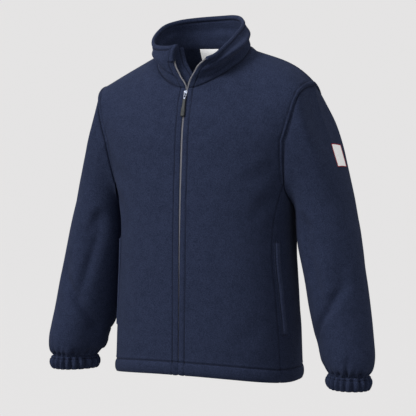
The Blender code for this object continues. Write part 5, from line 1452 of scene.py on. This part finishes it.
def stitches(name, lines):
    """Rows of stitches along lines of points with their ways out, joined into one mesh."""
    paths, sideways = [], []
    for points, outs in lines:
        length = run(points, 0)
        for start in np.arange(0.001, length[-1] - STITCH_LONG, STITCH_PITCH):
            at = start + STITCH_LONG * np.array([0.0, 0.2, 0.5, 0.8, 1.0])
            place = np.stack([np.interp(at, length, points[:, k]) for k in range(3)], axis=1)
            out = np.array([np.interp(start, length, outs[:, k]) for k in range(3)])
            rise = np.array([-1.2, 0.1, 0.5, 0.1, -1.2]) * THREAD
            paths.append(place + rise[:, None] * out)
            sideways.append(out)
    radii = THREAD * np.array([0.6, 1.0, 1.0, 1.0, 0.6])
    made = tubes(name, np.array(paths), radii, np.array(sideways)[:, None, :], thread_look)
    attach(made, "jacket")


HEM_STITCH = 0.0258
above_underarm = slice(underarm_row + 1, None)
body_lines = []
for cut, _, close, side_seam in fronts:
    face, normal = cut.face(), cut.normal
    body_lines.append(line_up(face, normal, side_seam, ARMHOLE_STITCH, above_underarm))
    body_lines.append(line_up(face, normal, close, ZIP_STITCH))
    body_lines.append(line_across(face, normal, cut.up, HEM_STITCH))
for side_seam in (back.across, back.back_across):
    body_lines.append(line_up(back_face, back.normal, side_seam, ARMHOLE_STITCH, above_underarm))
body_lines.append(line_across(back_face, back.normal, back.up, HEM_STITCH))
stitches("body_stitching", body_lines)

collar_face = collar.face()
collar_inner = collar.form - collar.normal * (collar_layers + collar.inner_lift)[..., None]
below_rim = slice(*np.searchsorted(collar.up[:, 0], [0.001, collar.up[-1, 0] - RIM_STITCH]))
collar_lines = [
    line_across(collar_face, collar.normal, collar.down, RIM_STITCH),
    line_across(collar_inner, -collar.normal, collar.down, RIM_STITCH),
    line_up(collar_face, collar.normal, collar.across, ZIP_STITCH, below_rim),
    line_up(collar_face, collar.normal, collar.back_across, ZIP_STITCH, below_rim),
    line_up(guard.face(), guard.normal, guard.back_across, GUARD_STITCH),
]
stitches("collar_stitching", collar_lines)

small_lines = []
short_of_ends = slice(2, -2)
for welt in welts:
    for edge in (welt.across, welt.back_across):
        small_lines.append(line_up(welt.face(), welt.normal, edge, WELT_STITCH, short_of_ends))
    for edge in (welt.up, welt.down):
        small_lines.append(line_across(welt.face(), welt.normal, edge, WELT_STITCH, short_of_ends))
for cuff in cuffs:
    small_lines.append(line_across(cuff.face(), cuff.normal, cuff.down, CUFF_STITCH))
stitches("welt_and_cuff_stitching", small_lines)


# ==================================================================== studio
# A pale seamless floor and backdrop, soft light from large panels, and the camera.

STAGE_Z, STAGE_AROUND = -0.93, 96
STAGE_PROFILE = ((1.5, 0.0), (3.0, 0.0), (4.6, 0.12), (5.6, 0.7), (6.2, 1.8), (6.4, 3.4), (6.4, 6.5))
stage_look = Look("paper", Base_Color=(0.02, 0.02, 0.02, 1), Roughness=1.0, Specular_IOR_Level=0.0)
stage_look.wear(Emission_Color=(0.776, 0.768, 0.768, 1), Emission_Strength=1.0)


def backdrop():
    """A floor that sweeps up all round the object, so that every view has it behind."""
    turns = even_turns(STAGE_AROUND)
    rings = []
    for radius, height in STAGE_PROFILE:
        ring = [radius * np.cos(turns), radius * np.sin(turns), STAGE_Z + height + 0 * turns]
        rings.append(np.stack(ring, axis=1))
    index = np.arange(len(rings) * STAGE_AROUND).reshape(len(rings), STAGE_AROUND)
    right = np.roll(index, -1, axis=1)
    faces = list(quads(index[:-1], right[:-1], right[1:], index[1:])) + [index[0][::-1]]
    return add_mesh("floor", np.concatenate(rings), faces, stage_look)


floor = backdrop()
floor.visible_diffuse = floor.visible_glossy = floor.visible_shadow = False

PANELS = (
    ((-2.3, -3.2, 2.1), 1.5, 108.0),
    ((2.6, -3.2, 0.4), 1.8, 22.0),
    ((0.0, -1.2, 3.2), 1.6, 17.0),
    ((-3.0, 1.6, 1.0), 1.6, 16.0),
    ((3.0, 1.8, 1.0), 1.6, 14.0),
)
PANELS_AIM = (0.0, 0.0, -0.35)
for place, size, power in PANELS:
    light = bpy.data.lights.new("panel", "AREA")
    light.shape, light.size, light.energy = "DISK", size, power
    panel_light = bpy.data.objects.new("panel", light)
    panel_light.location = place
    aim = Vector(PANELS_AIM) - Vector(place)
    panel_light.rotation_euler = aim.to_track_quat("-Z", "Y").to_euler()
    bpy.context.scene.collection.objects.link(panel_light)

world = bpy.data.worlds.new("studio")
world.use_nodes = True
sky = world.node_tree.nodes["Background"].inputs
sky["Color"].default_value, sky["Strength"].default_value = (1.0, 0.98, 0.95, 1), 0.16
bpy.context.scene.world = world
bpy.context.scene.view_settings.view_transform = "Standard"

CAMERA_TURN, CAMERA_DISTANCE, CAMERA_Z = math.radians(25), 3.0, -0.22
FOCAL_PIXELS, IMAGE, DROP_PIXELS, SHIFT_PIXELS = 1364.0, 416, 60, -1
LOOK_DOWN = math.atan(DROP_PIXELS / FOCAL_PIXELS)
camera = bpy.data.cameras.new("camera")
camera.lens = FOCAL_PIXELS / IMAGE * camera.sensor_width
camera.shift_x = SHIFT_PIXELS / IMAGE
camera_object = bpy.data.objects.new("camera", camera)
camera_object.location = (
    CAMERA_DISTANCE * math.sin(CAMERA_TURN),
    -CAMERA_DISTANCE * math.cos(CAMERA_TURN),
    CAMERA_Z,
)
camera_object.rotation_euler = (math.pi / 2 - LOOK_DOWN, 0, CAMERA_TURN)
bpy.context.scene.collection.objects.link(camera_object)
bpy.context.scene.camera = camera_object
